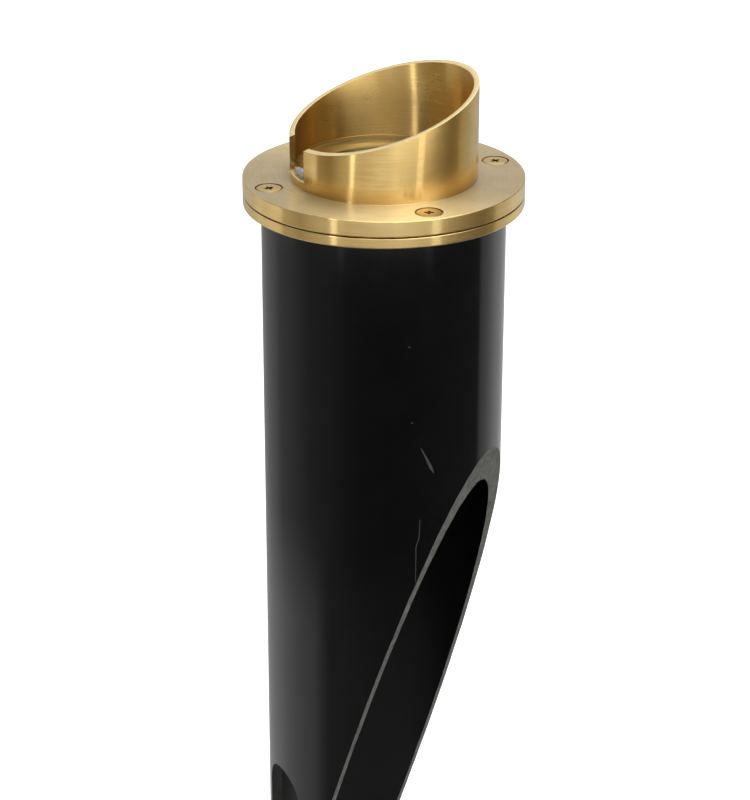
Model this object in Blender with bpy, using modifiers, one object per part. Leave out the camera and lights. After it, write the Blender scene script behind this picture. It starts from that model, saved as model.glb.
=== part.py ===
"""Brass in-ground well light: a glare cowl on a round flange, over a plastic pipe sleeve sawn to a stake.

Units are metres. +Z is up along the light's axis, and z = 0 is the ground, at the underside of the housing's
flange. Azimuth 0 faces -Y and grows towards +X.
"""

import math

import bmesh
import bpy
from mathutils import Matrix, Vector

# Clearances
SEAT_GAP = 0.0003
CLOSE_GAP = 0.00015
SCREW_GAP = 0.00025
EDGE_CHAMFER = 0.0003

# Facets round a turn
HEAD_STEPS = 48
LAMP_STEPS = 32
RING_STEPS = 36
SMALL_STEPS = 16

# Reflector lamp, 50 mm across, with two pins
LAMP_RIM_R = 0.0250
LAMP_RIM_T = 0.0026
LAMP_BOWL_DEPTH = 0.0280
LAMP_NECK_R = 0.0090
LAMP_NECK_LENGTH = 0.0030
LAMP_WALL = 0.0018
LAMP_FRONT_GLASS_T = 0.0012
LAMP_RIM_WALL = 0.0012
BOWL_POINTS = 6
CAPSULE_R = 0.0040
CAPSULE_LENGTH = 0.0200
LAMP_BASE_X = 0.0155
LAMP_BASE_Y = 0.0105
LAMP_BASE_T = 0.0072
LAMP_BASE_CORNER = 0.0015
PIN_R = 0.00075
PIN_SPACING = 0.0053
PIN_LENGTH = 0.0065
SOCKET_X = 0.0200
SOCKET_Y = 0.0120
SOCKET_T = 0.0120
SOCKET_CORNER = 0.0015

# Tilting lamp holder
PIVOT_DEPTH = 0.0140
LAMP_RIM_DROP = 0.0007
LAMP_FIT = 0.0004
GIMBAL_WALL = 0.0018
GIMBAL_LIP_T = 0.0012
GIMBAL_LIP_OVERLAP = 0.0006
GIMBAL_SKIRT = 0.0013
CLIP_WIRE_R = 0.0005
CLIP_GAP_DEG = 40.0
CLIP_POINTS = 33
PIVOT_R = 0.0015
PIVOT_HEAD_R = 0.0023
PIVOT_HEAD_T = 0.0009
PIVOT_SKIN = 0.0005
WASHER_R = 0.0034
WASHER_T = 0.0005
EAR_T = 0.0010
EAR_WIDTH = 0.0080
CARRIER_T = 0.0012
CARRIER_LIP = 0.0018
CARRIER_LEDGE = 0.0008

# Brass can with the lower flange
CAN_WALL = 0.0022
CAN_FLOOR_T = 0.0040
CAN_LAND_RISE = 0.00065
CAN_LAND_LENGTH = 0.0066
CAN_LOWER_RING_HEIGHT = 0.0154
CAN_TOP_LAND = 0.0094
CAN_FLANGE_T = 0.00315
CAN_CORNER = 0.0010
REBATE_DEPTH = 0.0004
GASKET_WIDTH = 0.0018
GASKET_T = 0.0012
GASKET_RIB = 0.0007
GASKET_WALL = 0.0006
ORING_R = 0.0009
ORING_SIDES = 6
ORING_GAP = 0.00025
LAMP_SWING_ROOM = 0.0012

# Pipe sleeve
SLEEVE_FIT = 0.0006
SLEEVE_WALL = 0.0036
SLEEVE_LENGTH = 0.3200
REBATE_FIT = 0.0005
CUT_START_DEPTH = 0.0756
CUT_ANGLE_DEG = 16.8
CUT_AZIMUTH_DEG = 61.3
SLOT_TOP_DEPTH = 0.1910
SLOT_WIDTH = 0.0200
SLOT_HEIGHT = 0.0500
SLOT_AZIMUTH_DEG = -62.0

# Cover with the cowl
FLANGE_OVERHANG = 0.0055
COVER_FLANGE_T = 0.00495
FLANGE_SEAM = 0.0003
LEDGE_DROP = 0.0014
LENS_R = 0.0261
LENS_OVERLAP = 0.0046
LENS_T = 0.0040
SEAL_T = 0.0005
SEAL_UNDER_T = 0.0007
SEAL_SEAT_WIDTH = 0.0026
SEAL_STANDS_PROUD = 0.0003
COWL_WALL = 0.0017
COWL_LOW_HEIGHT = 0.0122
COWL_SLOPE_DEG = 17.6
COWL_LOW_AZIMUTH_DEG = -66.3
NOTCH_WIDTH = 0.0134
NOTCH_AZIMUTH_DEG = -70.5
SCREW_RIM_WALL = 0.0012
SCREW_COUNT = 4
SCREW_AZIMUTH_DEG = 20.6
SCREW_R = 0.0020
SCREW_HEAD_R = 0.0042
SCREW_HEAD_RIM = 0.0002
SCREW_SINK = 0.00015
RECESS_LENGTH = 0.0044
RECESS_WIDTH = 0.0009
RECESS_DEPTH = 0.0016
RECESS_TURNS_DEG = (12.0, 34.0, -8.0, 51.0)

# Cable gland
GLAND_THREAD_R = 0.0080
GLAND_NUT_WALL = 0.0022
GLAND_HEX_T = 0.0060
GLAND_LOWER_R = 0.0088
GLAND_LOWER_LENGTH = 0.0082
GLAND_WALL = 0.0018
GLAND_BORE_R = 0.0046
GLAND_WASHER_T = 0.0012
GLAND_WASHER_WIDTH = 0.0030
LOCKNUT_T = 0.0036
BUSH_BORE_R = 0.0043
BUSH_PROUD = 0.0014
GLAND_NUT_END_T = 0.0050
GLAND_NUT_MOUTH_R = 0.0048

# Radii from the lamp outwards
GIMBAL_INNER_R = LAMP_RIM_R + LAMP_FIT
GIMBAL_OUTER_R = GIMBAL_INNER_R + GIMBAL_WALL
WASHER_X = GIMBAL_OUTER_R + CLOSE_GAP
EAR_INNER_X = WASHER_X + WASHER_T + CLOSE_GAP
EAR_OUTER_X = EAR_INNER_X + EAR_T
PIVOT_HEAD_X = EAR_OUTER_X + CLOSE_GAP
PIVOT_END_X = PIVOT_HEAD_X + PIVOT_HEAD_T
EAR_CORNER_R = math.hypot(EAR_OUTER_X, EAR_WIDTH / 2)
CARRIER_INNER_R = EAR_INNER_X - CARRIER_LIP
CAN_BORE_R = max(math.hypot(PIVOT_END_X, PIVOT_HEAD_R), EAR_CORNER_R) + SEAT_GAP
CAN_BODY_R = CAN_BORE_R + CAN_WALL
CAN_LAND_R = CAN_BODY_R + CAN_LAND_RISE
SLEEVE_INNER_R = CAN_LAND_R + SLEEVE_FIT
SLEEVE_OUTER_R = SLEEVE_INNER_R + SLEEVE_WALL
REBATE_R = SLEEVE_OUTER_R + REBATE_FIT
CARRIER_SEAT_R = CAN_BORE_R + CARRIER_LEDGE
CARRIER_OUTER_R = CARRIER_SEAT_R - CLOSE_GAP
GASKET_INNER_R = CARRIER_SEAT_R + GASKET_RIB + CLOSE_GAP
GASKET_OUTER_R = GASKET_INNER_R + GASKET_WIDTH
ORING_CENTRE_R = SLEEVE_INNER_R - ORING_GAP - ORING_R
ORING_GROOVE_R = ORING_CENTRE_R - ORING_R - CLOSE_GAP
ORING_GROOVE_HALF = ORING_R + CLOSE_GAP
SEAL_INNER_R = LENS_R + CLOSE_GAP
SEAL_OUTER_R = SEAL_INNER_R + SEAL_T
COWL_BORE_R = SEAL_OUTER_R + CLOSE_GAP
COWL_OUTER_R = COWL_BORE_R + COWL_WALL
APERTURE_R = LENS_R - LENS_OVERLAP
SINK_R = SCREW_HEAD_R + SCREW_GAP
SCREW_CIRCLE_R = max(
    GASKET_OUTER_R + CLOSE_GAP + GASKET_WALL + SCREW_R + CLOSE_GAP,
    COWL_OUTER_R + SCREW_RIM_WALL + SINK_R,
)
FLANGE_R = max(SLEEVE_OUTER_R + FLANGE_OVERHANG, SCREW_CIRCLE_R + SINK_R + SCREW_RIM_WALL)
GLAND_HEX_ACROSS = 2 * (GLAND_LOWER_R + GLAND_NUT_WALL)
GLAND_POCKET_R = GLAND_LOWER_R - GLAND_WALL
GLAND_HOLE_R = GLAND_THREAD_R + SCREW_GAP

# Heights from the ground upwards
SLEEVE_TOP_Z = REBATE_DEPTH - SEAT_GAP
CAN_TOP_Z = CAN_FLANGE_T
COVER_BOTTOM_Z = CAN_TOP_Z + FLANGE_SEAM
COVER_TOP_Z = COVER_BOTTOM_Z + COVER_FLANGE_T
LEDGE_Z = COVER_TOP_Z - LEDGE_DROP
SEAL_BOTTOM_Z = LEDGE_Z + CLOSE_GAP
SEAL_STEP_Z = SEAL_BOTTOM_Z + SEAL_UNDER_T
LENS_BOTTOM_Z = SEAL_STEP_Z + CLOSE_GAP
LENS_TOP_Z = LENS_BOTTOM_Z + LENS_T
SEAL_TOP_Z = LENS_TOP_Z + SEAL_STANDS_PROUD
COWL_SLOPE = math.tan(math.radians(COWL_SLOPE_DEG))
COWL_TOP_Z = COVER_TOP_Z + COWL_LOW_HEIGHT + 2 * COWL_OUTER_R * COWL_SLOPE
GASKET_TOP_Z = COVER_BOTTOM_Z - CLOSE_GAP
GASKET_BOTTOM_Z = GASKET_TOP_Z - GASKET_T
CARRIER_TOP_Z = CAN_TOP_Z
CARRIER_BOTTOM_Z = CARRIER_TOP_Z - CARRIER_T
SCREW_TOP_Z = COVER_TOP_Z - SCREW_SINK
SCREW_TIP_Z = REBATE_DEPTH + CLOSE_GAP
ORING_UPPER_Z = REBATE_DEPTH - CAN_TOP_LAND + CAN_LAND_LENGTH / 2

# Heights of the lamp from its tilting axis
PIVOT_Z = -PIVOT_DEPTH
RIM_BOTTOM_Z = PIVOT_Z - LAMP_RIM_DROP
RIM_TOP_Z = RIM_BOTTOM_Z + LAMP_RIM_T
LIP_TOP_Z = RIM_BOTTOM_Z - SEAT_GAP
LIP_BOTTOM_Z = LIP_TOP_Z - GIMBAL_LIP_T
GIMBAL_BOTTOM_Z = LIP_BOTTOM_Z - GIMBAL_SKIRT
CLIP_Z = RIM_TOP_Z + SEAT_GAP + CLIP_WIRE_R
GIMBAL_TOP_Z = CLIP_Z + CLIP_WIRE_R + GIMBAL_SKIRT
BOWL_END_Z = RIM_BOTTOM_Z - LAMP_BOWL_DEPTH
NECK_END_Z = BOWL_END_Z - LAMP_NECK_LENGTH
BASE_TOP_Z = NECK_END_Z - SEAT_GAP
BASE_BOTTOM_Z = BASE_TOP_Z - LAMP_BASE_T
PIN_TOP_Z = BASE_BOTTOM_Z - SEAT_GAP
PIN_BOTTOM_Z = PIN_TOP_Z - PIN_LENGTH
SOCKET_TOP_Z = PIN_TOP_Z - SEAT_GAP
SOCKET_BOTTOM_Z = SOCKET_TOP_Z - SOCKET_T

# Heights of the can's floor and the gland below the swinging socket
SWING_DEPTH = math.hypot(PIVOT_Z - SOCKET_BOTTOM_Z, SOCKET_Y / 2)
LOCKNUT_TOP_Z = PIVOT_Z - SWING_DEPTH - LAMP_SWING_ROOM
LOCKNUT_BOTTOM_Z = LOCKNUT_TOP_Z - LOCKNUT_T
FLOOR_TOP_Z = LOCKNUT_BOTTOM_Z - SEAT_GAP
CAN_BOTTOM_Z = FLOOR_TOP_Z - CAN_FLOOR_T
ORING_LOWER_Z = CAN_BOTTOM_Z + CAN_LOWER_RING_HEIGHT
WASHER_TOP_Z = CAN_BOTTOM_Z - SEAT_GAP
WASHER_BOTTOM_Z = WASHER_TOP_Z - GLAND_WASHER_T
GLAND_HEX_TOP_Z = WASHER_BOTTOM_Z - SEAT_GAP
GLAND_HEX_BOTTOM_Z = GLAND_HEX_TOP_Z - GLAND_HEX_T
GLAND_END_Z = GLAND_HEX_BOTTOM_Z - GLAND_LOWER_LENGTH
BUSH_BOTTOM_Z = GLAND_END_Z - BUSH_PROUD
NUT_TOP_Z = GLAND_HEX_BOTTOM_Z - SEAT_GAP
NUT_STEP_Z = BUSH_BOTTOM_Z - SEAT_GAP
NUT_BOTTOM_Z = NUT_STEP_Z - GLAND_NUT_END_T

# Cutting, merging and shading
CUT_REACH = 1.0
CUT_OVERRUN = 0.002
SHARP_ANGLE_DEG = 32.0
MERGE_DISTANCE = 0.00001

# Looks: colour, roughness, metallic
BRASS = ("machined_brass", (0.62, 0.42, 0.14), 0.32, 1.0)
PIPE_BLACK = ("black_pipe_plastic", (0.012, 0.012, 0.013), 0.18, 0.0)
CLEAR_GLASS = ("clear_glass", (0.86, 0.90, 0.90), 0.05, 0.0)
SILICONE = ("clear_silicone", (0.72, 0.73, 0.72), 0.45, 0.0)
BLACK_RUBBER = ("black_rubber", (0.02, 0.02, 0.02), 0.65, 0.0)
SPRING_STEEL = ("bright_steel", (0.60, 0.60, 0.60), 0.30, 1.0)
MIRROR_GLASS = ("mirrored_glass", (0.80, 0.80, 0.82), 0.08, 1.0)
WHITE_CERAMIC = ("white_ceramic", (0.80, 0.78, 0.72), 0.40, 0.0)
GLAND_NYLON = ("black_nylon", (0.03, 0.03, 0.03), 0.50, 0.0)


def direction(azimuth_deg):
    angle = math.radians(azimuth_deg)
    return Vector((math.sin(angle), -math.cos(angle), 0.0))


def clear_scene():
    for old in list(bpy.data.objects):
        bpy.data.objects.remove(old, do_unlink=True)


def new_collection(name):
    collection = bpy.data.collections.new(name)
    bpy.context.scene.collection.children.link(collection)
    return collection


def look(finish):
    """The material of a finish, made the first time it is asked for."""
    name, colour, roughness, metallic = finish
    material = bpy.data.materials.get(name)
    if material is None:
        material = bpy.data.materials.new(name)
        material.use_nodes = True
        shader = material.node_tree.nodes["Principled BSDF"]
        shader.inputs["Base Color"].default_value = (*colour, 1.0)
        shader.inputs["Roughness"].default_value = roughness
        shader.inputs["Metallic"].default_value = metallic
    return material


def place(name, mesh, finish):
    """Puts a mesh in the scene: a part with its finish, or a hidden cutter where the finish is None."""
    obj = bpy.data.objects.new(name, mesh)
    if finish is None:
        CUTTERS.objects.link(obj)
        obj.hide_render = True
        obj.display_type = "WIRE"
    else:
        PARTS.objects.link(obj)
        mesh.materials.append(look(finish))
    return obj


def turned(name, profile, finish=None, steps=HEAD_STEPS):
    """Turns (radius, height) points about +Z: down the outer side, then round to the start or the axis."""
    mesh = bpy.data.meshes.new(name)
    count = len(profile)
    on_axis = profile[0][0] == 0.0 and profile[-1][0] == 0.0
    edges = [(i, (i + 1) % count) for i in range(count - on_axis)]
    mesh.from_pydata([(radius, 0.0, height) for radius, height in profile], edges, [])
    obj = place(name, mesh, finish)
    screw = obj.modifiers.new("turn", "SCREW")
    screw.axis = "Z"
    screw.steps = steps
    screw.render_steps = steps
    screw.use_merge_vertices = True
    screw.merge_threshold = MERGE_DISTANCE
    return obj


def ring(name, inner, outer, bottom, top, finish, steps=HEAD_STEPS):
    profile = [(outer, top), (outer, bottom), (inner, bottom), (inner, top)]
    return turned(name, profile, finish, steps)


def box(name, size, centre, finish=None):
    mesh = bpy.data.meshes.new(name)
    work = bmesh.new()
    bmesh.ops.create_cube(work, size=1.0, matrix=Matrix.Translation(centre) @ Matrix.Diagonal((*size, 1.0)))
    work.to_mesh(mesh)
    work.free()
    return place(name, mesh, finish)


def rod(name, radius, start, end, finish=None, steps=SMALL_STEPS):
    """A solid rod, or with six steps a hexagon bar, between two points."""
    start, end = Vector(start), Vector(end)
    axis = end - start
    turn = axis.to_track_quat("Z", "Y").to_matrix().to_4x4()
    mesh = bpy.data.meshes.new(name)
    work = bmesh.new()
    bmesh.ops.create_cone(
        work,
        cap_ends=True,
        segments=steps,
        radius1=radius,
        radius2=radius,
        depth=axis.length,
        matrix=Matrix.Translation((start + end) / 2) @ turn,
    )
    work.to_mesh(mesh)
    work.free()
    return place(name, mesh, finish)


def half_space(name, point, normal):
    """A large cutter that lies on the side of the plane to which the normal points."""
    cutter = box(name, (CUT_REACH, CUT_REACH, CUT_REACH), (CUT_REACH / 2, 0.0, 0.0))
    turn = normal.to_track_quat("X", "Z").to_matrix().to_4x4()
    cutter.data.transform(Matrix.Translation(point) @ turn)
    return cutter


def combine(target, other, operation="DIFFERENCE"):
    boolean = target.modifiers.new(other.name, "BOOLEAN")
    boolean.object = other
    boolean.operation = operation
    boolean.solver = "EXACT"


def round_corners(obj, width):
    bevel = obj.modifiers.new("round_corners", "BEVEL")
    bevel.width = width
    bevel.segments = 2


def hex_radius(across_flats):
    return across_flats / 2 / math.cos(math.pi / 6)


def sleeve_tube():
    """Pipe sawn slantwise to a stake, with an oval cable slot in its wall."""
    tube = ring("sleeve_tube", SLEEVE_INNER_R, SLEEVE_OUTER_R, -SLEEVE_LENGTH, SLEEVE_TOP_Z, PIPE_BLACK)
    facing = direction(CUT_AZIMUTH_DEG)
    start = facing * SLEEVE_OUTER_R - Vector((0.0, 0.0, CUT_START_DEPTH))
    slant = math.radians(CUT_ANGLE_DEG)
    away = facing * math.cos(slant) - Vector((0.0, 0.0, math.sin(slant)))
    combine(tube, half_space("saw_cut", start, away))

    out = direction(SLOT_AZIMUTH_DEG)
    slot = rod("cable_slot", 0.5, (0.0, 0.0, 0.0), (0.0, 0.0, 2 * SLEEVE_OUTER_R), steps=RING_STEPS)
    slot.data.transform(Matrix.Diagonal((SLOT_HEIGHT, SLOT_WIDTH, 1.0, 1.0)))
    middle = Vector((0.0, 0.0, -SLOT_TOP_DEPTH - SLOT_HEIGHT / 2))
    axes = Matrix((Vector((0.0, 0.0, 1.0)), out.cross(Vector((0.0, 0.0, 1.0))), out)).transposed()
    slot.data.transform(Matrix.Translation(middle) @ axes.to_4x4())
    combine(tube, slot)
    return [tube]


def land_profile(middle):
    """The outer side of a raised land with its ring groove, from the top down."""
    half = CAN_LAND_LENGTH / 2
    return [
        (CAN_LAND_R, middle + half),
        (CAN_LAND_R, middle + ORING_GROOVE_HALF),
        (ORING_GROOVE_R, middle + ORING_GROOVE_HALF),
        (ORING_GROOVE_R, middle - ORING_GROOVE_HALF),
        (CAN_LAND_R, middle - ORING_GROOVE_HALF),
        (CAN_LAND_R, middle - half),
        (CAN_BODY_R, middle - half - CAN_LAND_RISE),
    ]


def screw_places():
    """Each cover screw's centre on the flange's bolt circle."""
    turn = 360.0 / SCREW_COUNT
    return [direction(SCREW_AZIMUTH_DEG + i * turn) * SCREW_CIRCLE_R for i in range(SCREW_COUNT)]


def housing_can():
    """Can with a flange, ring lands, a gasket groove, a seat for the lamp carrier and a gland hole."""
    groove_inner = GASKET_INNER_R - CLOSE_GAP
    groove_outer = GASKET_OUTER_R + CLOSE_GAP
    groove_z = GASKET_BOTTOM_Z - CLOSE_GAP
    seat_z = CARRIER_BOTTOM_Z - CLOSE_GAP
    profile = [
        (FLANGE_R - EDGE_CHAMFER, CAN_TOP_Z),
        (FLANGE_R, CAN_TOP_Z - EDGE_CHAMFER),
        (FLANGE_R, EDGE_CHAMFER),
        (FLANGE_R - EDGE_CHAMFER, 0.0),
        (REBATE_R, 0.0),
        (REBATE_R, REBATE_DEPTH),
        (CAN_LAND_R, REBATE_DEPTH),
        *land_profile(ORING_UPPER_Z)[1:],
        (CAN_BODY_R, ORING_LOWER_Z + CAN_LAND_LENGTH / 2 + CAN_LAND_RISE),
        *land_profile(ORING_LOWER_Z),
        (CAN_BODY_R, CAN_BOTTOM_Z + CAN_CORNER),
        (CAN_BODY_R - CAN_CORNER, CAN_BOTTOM_Z),
        (GLAND_HOLE_R, CAN_BOTTOM_Z),
        (GLAND_HOLE_R, FLOOR_TOP_Z),
        (CAN_BORE_R, FLOOR_TOP_Z),
        (CAN_BORE_R, seat_z),
        (CARRIER_SEAT_R, seat_z),
        (CARRIER_SEAT_R, CAN_TOP_Z),
        (groove_inner, CAN_TOP_Z),
        (groove_inner, groove_z),
        (groove_outer, groove_z),
        (groove_outer, CAN_TOP_Z),
    ]
    can = turned("housing_can", profile, BRASS)
    for number, spot in enumerate(screw_places(), 1):
        low = spot - Vector((0.0, 0.0, CUT_OVERRUN))
        high = spot + Vector((0.0, 0.0, CAN_TOP_Z + CUT_OVERRUN))
        combine(can, rod(f"tapped_hole_{number}", SCREW_R + CLOSE_GAP, low, high))
    return [can]


def flange_gasket():
    bottom, top = GASKET_BOTTOM_Z, GASKET_TOP_Z
    return [ring("flange_gasket", GASKET_INNER_R, GASKET_OUTER_R, bottom, top, BLACK_RUBBER)]


def sleeve_orings():
    made = []
    for name, height in (("sleeve_oring_upper", ORING_UPPER_Z), ("sleeve_oring_lower", ORING_LOWER_Z)):
        section = []
        for i in range(ORING_SIDES):
            angle = -2 * math.pi * (i + 0.5) / ORING_SIDES
            section.append((ORING_CENTRE_R + ORING_R * math.cos(angle), height + ORING_R * math.sin(angle)))
        made.append(turned(name, section, BLACK_RUBBER))
    return made


def countersunk(top, tip, gap):
    """Profile of a countersunk screw, or with a gap the hole that it goes through."""
    cone_top = SCREW_TOP_Z - SCREW_HEAD_RIM
    return [
        (0.0, top),
        (SCREW_HEAD_R + gap, top),
        (SCREW_HEAD_R + gap, cone_top),
        (SCREW_R + gap, cone_top - SCREW_HEAD_R + SCREW_R),
        (SCREW_R + gap, tip),
        (0.0, tip),
    ]


def cowl_flange():
    """Flange and cowl in one piece, with a lens ledge, a slanted rim, a drain notch and screw holes."""
    rough_top = COWL_TOP_Z + CUT_OVERRUN
    profile = [
        (COWL_OUTER_R, rough_top),
        (COWL_OUTER_R, COVER_TOP_Z),
        (FLANGE_R - EDGE_CHAMFER, COVER_TOP_Z),
        (FLANGE_R, COVER_TOP_Z - EDGE_CHAMFER),
        (FLANGE_R, COVER_BOTTOM_Z + EDGE_CHAMFER),
        (FLANGE_R - EDGE_CHAMFER, COVER_BOTTOM_Z),
        (APERTURE_R, COVER_BOTTOM_Z),
        (APERTURE_R, LEDGE_Z),
        (COWL_BORE_R, LEDGE_Z),
        (COWL_BORE_R, rough_top),
    ]
    cover = turned("cowl_flange", profile, BRASS)

    low = direction(COWL_LOW_AZIMUTH_DEG)
    lowest = low * COWL_OUTER_R + Vector((0.0, 0.0, COVER_TOP_Z + COWL_LOW_HEIGHT))
    slope = math.radians(COWL_SLOPE_DEG)
    upward = low * math.sin(slope) + Vector((0.0, 0.0, math.cos(slope)))
    combine(cover, half_space("rim_cut", lowest, upward))

    notch_height = COWL_TOP_Z - LENS_TOP_Z
    reach = COWL_OUTER_R - APERTURE_R + CUT_OVERRUN
    middle = (APERTURE_R + reach / 2, 0.0, notch_height / 2)
    notch = box("drain_notch", (reach, NOTCH_WIDTH, notch_height), middle)
    turn = direction(NOTCH_AZIMUTH_DEG).to_track_quat("X", "Z").to_matrix().to_4x4()
    notch.data.transform(Matrix.Translation((0.0, 0.0, LENS_TOP_Z)) @ turn)
    combine(cover, notch)

    hole = countersunk(COVER_TOP_Z + CUT_OVERRUN, COVER_BOTTOM_Z - CUT_OVERRUN, SCREW_GAP)
    for number, spot in enumerate(screw_places(), 1):
        cutter = turned(f"screw_hole_{number}", hole, steps=SMALL_STEPS)
        cutter.location = spot
        combine(cover, cutter)
    return [cover]


def lens_glass():
    profile = [
        (0.0, LENS_TOP_Z),
        (LENS_R - EDGE_CHAMFER, LENS_TOP_Z),
        (LENS_R, LENS_TOP_Z - EDGE_CHAMFER),
        (LENS_R, LENS_BOTTOM_Z),
        (0.0, LENS_BOTTOM_Z),
    ]
    return [turned("lens_glass", profile, CLEAR_GLASS)]


def lens_seal():
    """Silicone under the lens and round its edge."""
    seat_r = LENS_R - SEAL_SEAT_WIDTH
    profile = [
        (SEAL_OUTER_R, SEAL_TOP_Z),
        (SEAL_OUTER_R, SEAL_BOTTOM_Z),
        (seat_r, SEAL_BOTTOM_Z),
        (seat_r, SEAL_STEP_Z),
        (SEAL_INNER_R, SEAL_STEP_Z),
        (SEAL_INNER_R, SEAL_TOP_Z),
    ]
    return [turned("lens_seal", profile, SILICONE)]


def cover_screws():
    """Countersunk screws with a cross recess, each stopped at its own angle."""
    made = []
    profile = countersunk(SCREW_TOP_Z, SCREW_TIP_Z, 0.0)
    bar_size = (RECESS_LENGTH, RECESS_WIDTH, 2 * RECESS_DEPTH)
    for number, spot in enumerate(screw_places(), 1):
        screw = turned(f"cover_screw_{number}", profile, BRASS, SMALL_STEPS)
        screw.location = spot
        for quarter in (0.0, 90.0):
            bar = box(f"recess_{number}_{quarter:.0f}", bar_size, (0.0, 0.0, 0.0))
            bar.location = spot + Vector((0.0, 0.0, SCREW_TOP_Z))
            bar.rotation_euler.z = math.radians(RECESS_TURNS_DEG[number % len(RECESS_TURNS_DEG)] + quarter)
            combine(screw, bar)
        made.append(screw)
    return made


def lamp_carrier():
    """Flat ring clamped between can and cover, with two ears bent down to the tilting axis."""
    carrier = ring(
        "lamp_carrier", CARRIER_INNER_R, CARRIER_OUTER_R, CARRIER_BOTTOM_Z, CARRIER_TOP_Z, SPRING_STEEL
    )
    ear_top = (CARRIER_BOTTOM_Z + CARRIER_TOP_Z) / 2
    ear_x = (EAR_INNER_X + EAR_OUTER_X) / 2
    for side in (-1, 1):
        hand = "left" if side < 0 else "right"
        size = (EAR_T, EAR_WIDTH, ear_top - PIVOT_Z)
        combine(carrier, box(f"ear_{hand}", size, (side * ear_x, 0.0, (ear_top + PIVOT_Z) / 2)), "UNION")
        inner = (side * EAR_INNER_X, 0.0, PIVOT_Z)
        outer = (side * EAR_OUTER_X, 0.0, PIVOT_Z)
        combine(carrier, rod(f"ear_end_{hand}", EAR_WIDTH / 2, inner, outer, steps=RING_STEPS), "UNION")
        inner = (side * (EAR_INNER_X - CUT_OVERRUN), 0.0, PIVOT_Z)
        outer = (side * (EAR_OUTER_X + CUT_OVERRUN), 0.0, PIVOT_Z)
        combine(carrier, rod(f"ear_hole_{hand}", PIVOT_R + CLOSE_GAP, inner, outer))
    return [carrier]


def gimbal_ring():
    """Ring with a lip under the lamp's rim, a groove for the clip and two blind pivot holes."""
    groove_r = GIMBAL_INNER_R + CLIP_WIRE_R
    groove_half = CLIP_WIRE_R + CLOSE_GAP
    lip_r = LAMP_RIM_R - GIMBAL_LIP_OVERLAP
    profile = [
        (GIMBAL_OUTER_R, GIMBAL_TOP_Z),
        (GIMBAL_OUTER_R, GIMBAL_BOTTOM_Z),
        (GIMBAL_INNER_R, GIMBAL_BOTTOM_Z),
        (GIMBAL_INNER_R, LIP_BOTTOM_Z),
        (lip_r, LIP_BOTTOM_Z),
        (lip_r, LIP_TOP_Z),
        (GIMBAL_INNER_R, LIP_TOP_Z),
        (GIMBAL_INNER_R, CLIP_Z - groove_half),
        (groove_r, CLIP_Z - groove_half),
        (groove_r, CLIP_Z + groove_half),
        (GIMBAL_INNER_R, CLIP_Z + groove_half),
        (GIMBAL_INNER_R, GIMBAL_TOP_Z),
    ]
    gimbal = turned("gimbal_ring", profile, SPRING_STEEL, LAMP_STEPS)
    for side in (-1, 1):
        inner = (side * (GIMBAL_INNER_R + PIVOT_SKIN), 0.0, PIVOT_Z)
        outer = (side * (GIMBAL_OUTER_R + CUT_OVERRUN), 0.0, PIVOT_Z)
        combine(gimbal, rod(f"pivot_hole_{side + 1}", PIVOT_R + CLOSE_GAP, inner, outer))
    return [gimbal]


def pivots():
    """Headed pivot screws in the gimbal ring, with a friction washer inside each ear."""
    made = []
    for side, hand in ((-1, "left"), (1, "right")):
        tip = (side * (GIMBAL_INNER_R + PIVOT_SKIN + CLOSE_GAP), 0.0, PIVOT_Z)
        under_head = (side * PIVOT_HEAD_X, 0.0, PIVOT_Z)
        head_end = (side * PIVOT_END_X, 0.0, PIVOT_Z)
        screw = rod(f"pivot_screw_{hand}", PIVOT_HEAD_R, under_head, head_end, SPRING_STEEL)
        combine(screw, rod(f"pivot_shank_{hand}", PIVOT_R, tip, head_end), "UNION")
        near = (side * WASHER_X, 0.0, PIVOT_Z)
        far = (side * (WASHER_X + WASHER_T), 0.0, PIVOT_Z)
        washer = rod(f"pivot_washer_{hand}", WASHER_R, near, far, BLACK_RUBBER)
        before = (side * (WASHER_X - CUT_OVERRUN), 0.0, PIVOT_Z)
        beyond = (side * (WASHER_X + WASHER_T + CUT_OVERRUN), 0.0, PIVOT_Z)
        combine(washer, rod(f"washer_hole_{hand}", PIVOT_R + CLOSE_GAP, before, beyond))
        made += [screw, washer]
    return made


def lamp_clip():
    """Open ring of spring wire above the lamp's rim."""
    curve = bpy.data.curves.new("lamp_clip", "CURVE")
    curve.dimensions = "3D"
    curve.bevel_depth = CLIP_WIRE_R
    curve.bevel_resolution = 1
    curve.use_fill_caps = True
    radius = GIMBAL_INNER_R - CLIP_WIRE_R / 2
    spline = curve.splines.new("POLY")
    spline.points.add(CLIP_POINTS - 1)
    for i, point in enumerate(spline.points):
        spot = direction(CLIP_GAP_DEG / 2 + (360.0 - CLIP_GAP_DEG) * i / (CLIP_POINTS - 1)) * radius
        point.co = (spot.x, spot.y, CLIP_Z, 1.0)
    clip = bpy.data.objects.new("lamp_clip", curve)
    PARTS.objects.link(clip)
    curve.materials.append(look(SPRING_STEEL))
    return [clip]


def bowl_radius(share, rim_radius, neck_radius):
    """Radius of a parabolic bowl at a share of its depth, from the rim down to the neck."""
    return math.sqrt(rim_radius**2 + (neck_radius**2 - rim_radius**2) * share)


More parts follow.
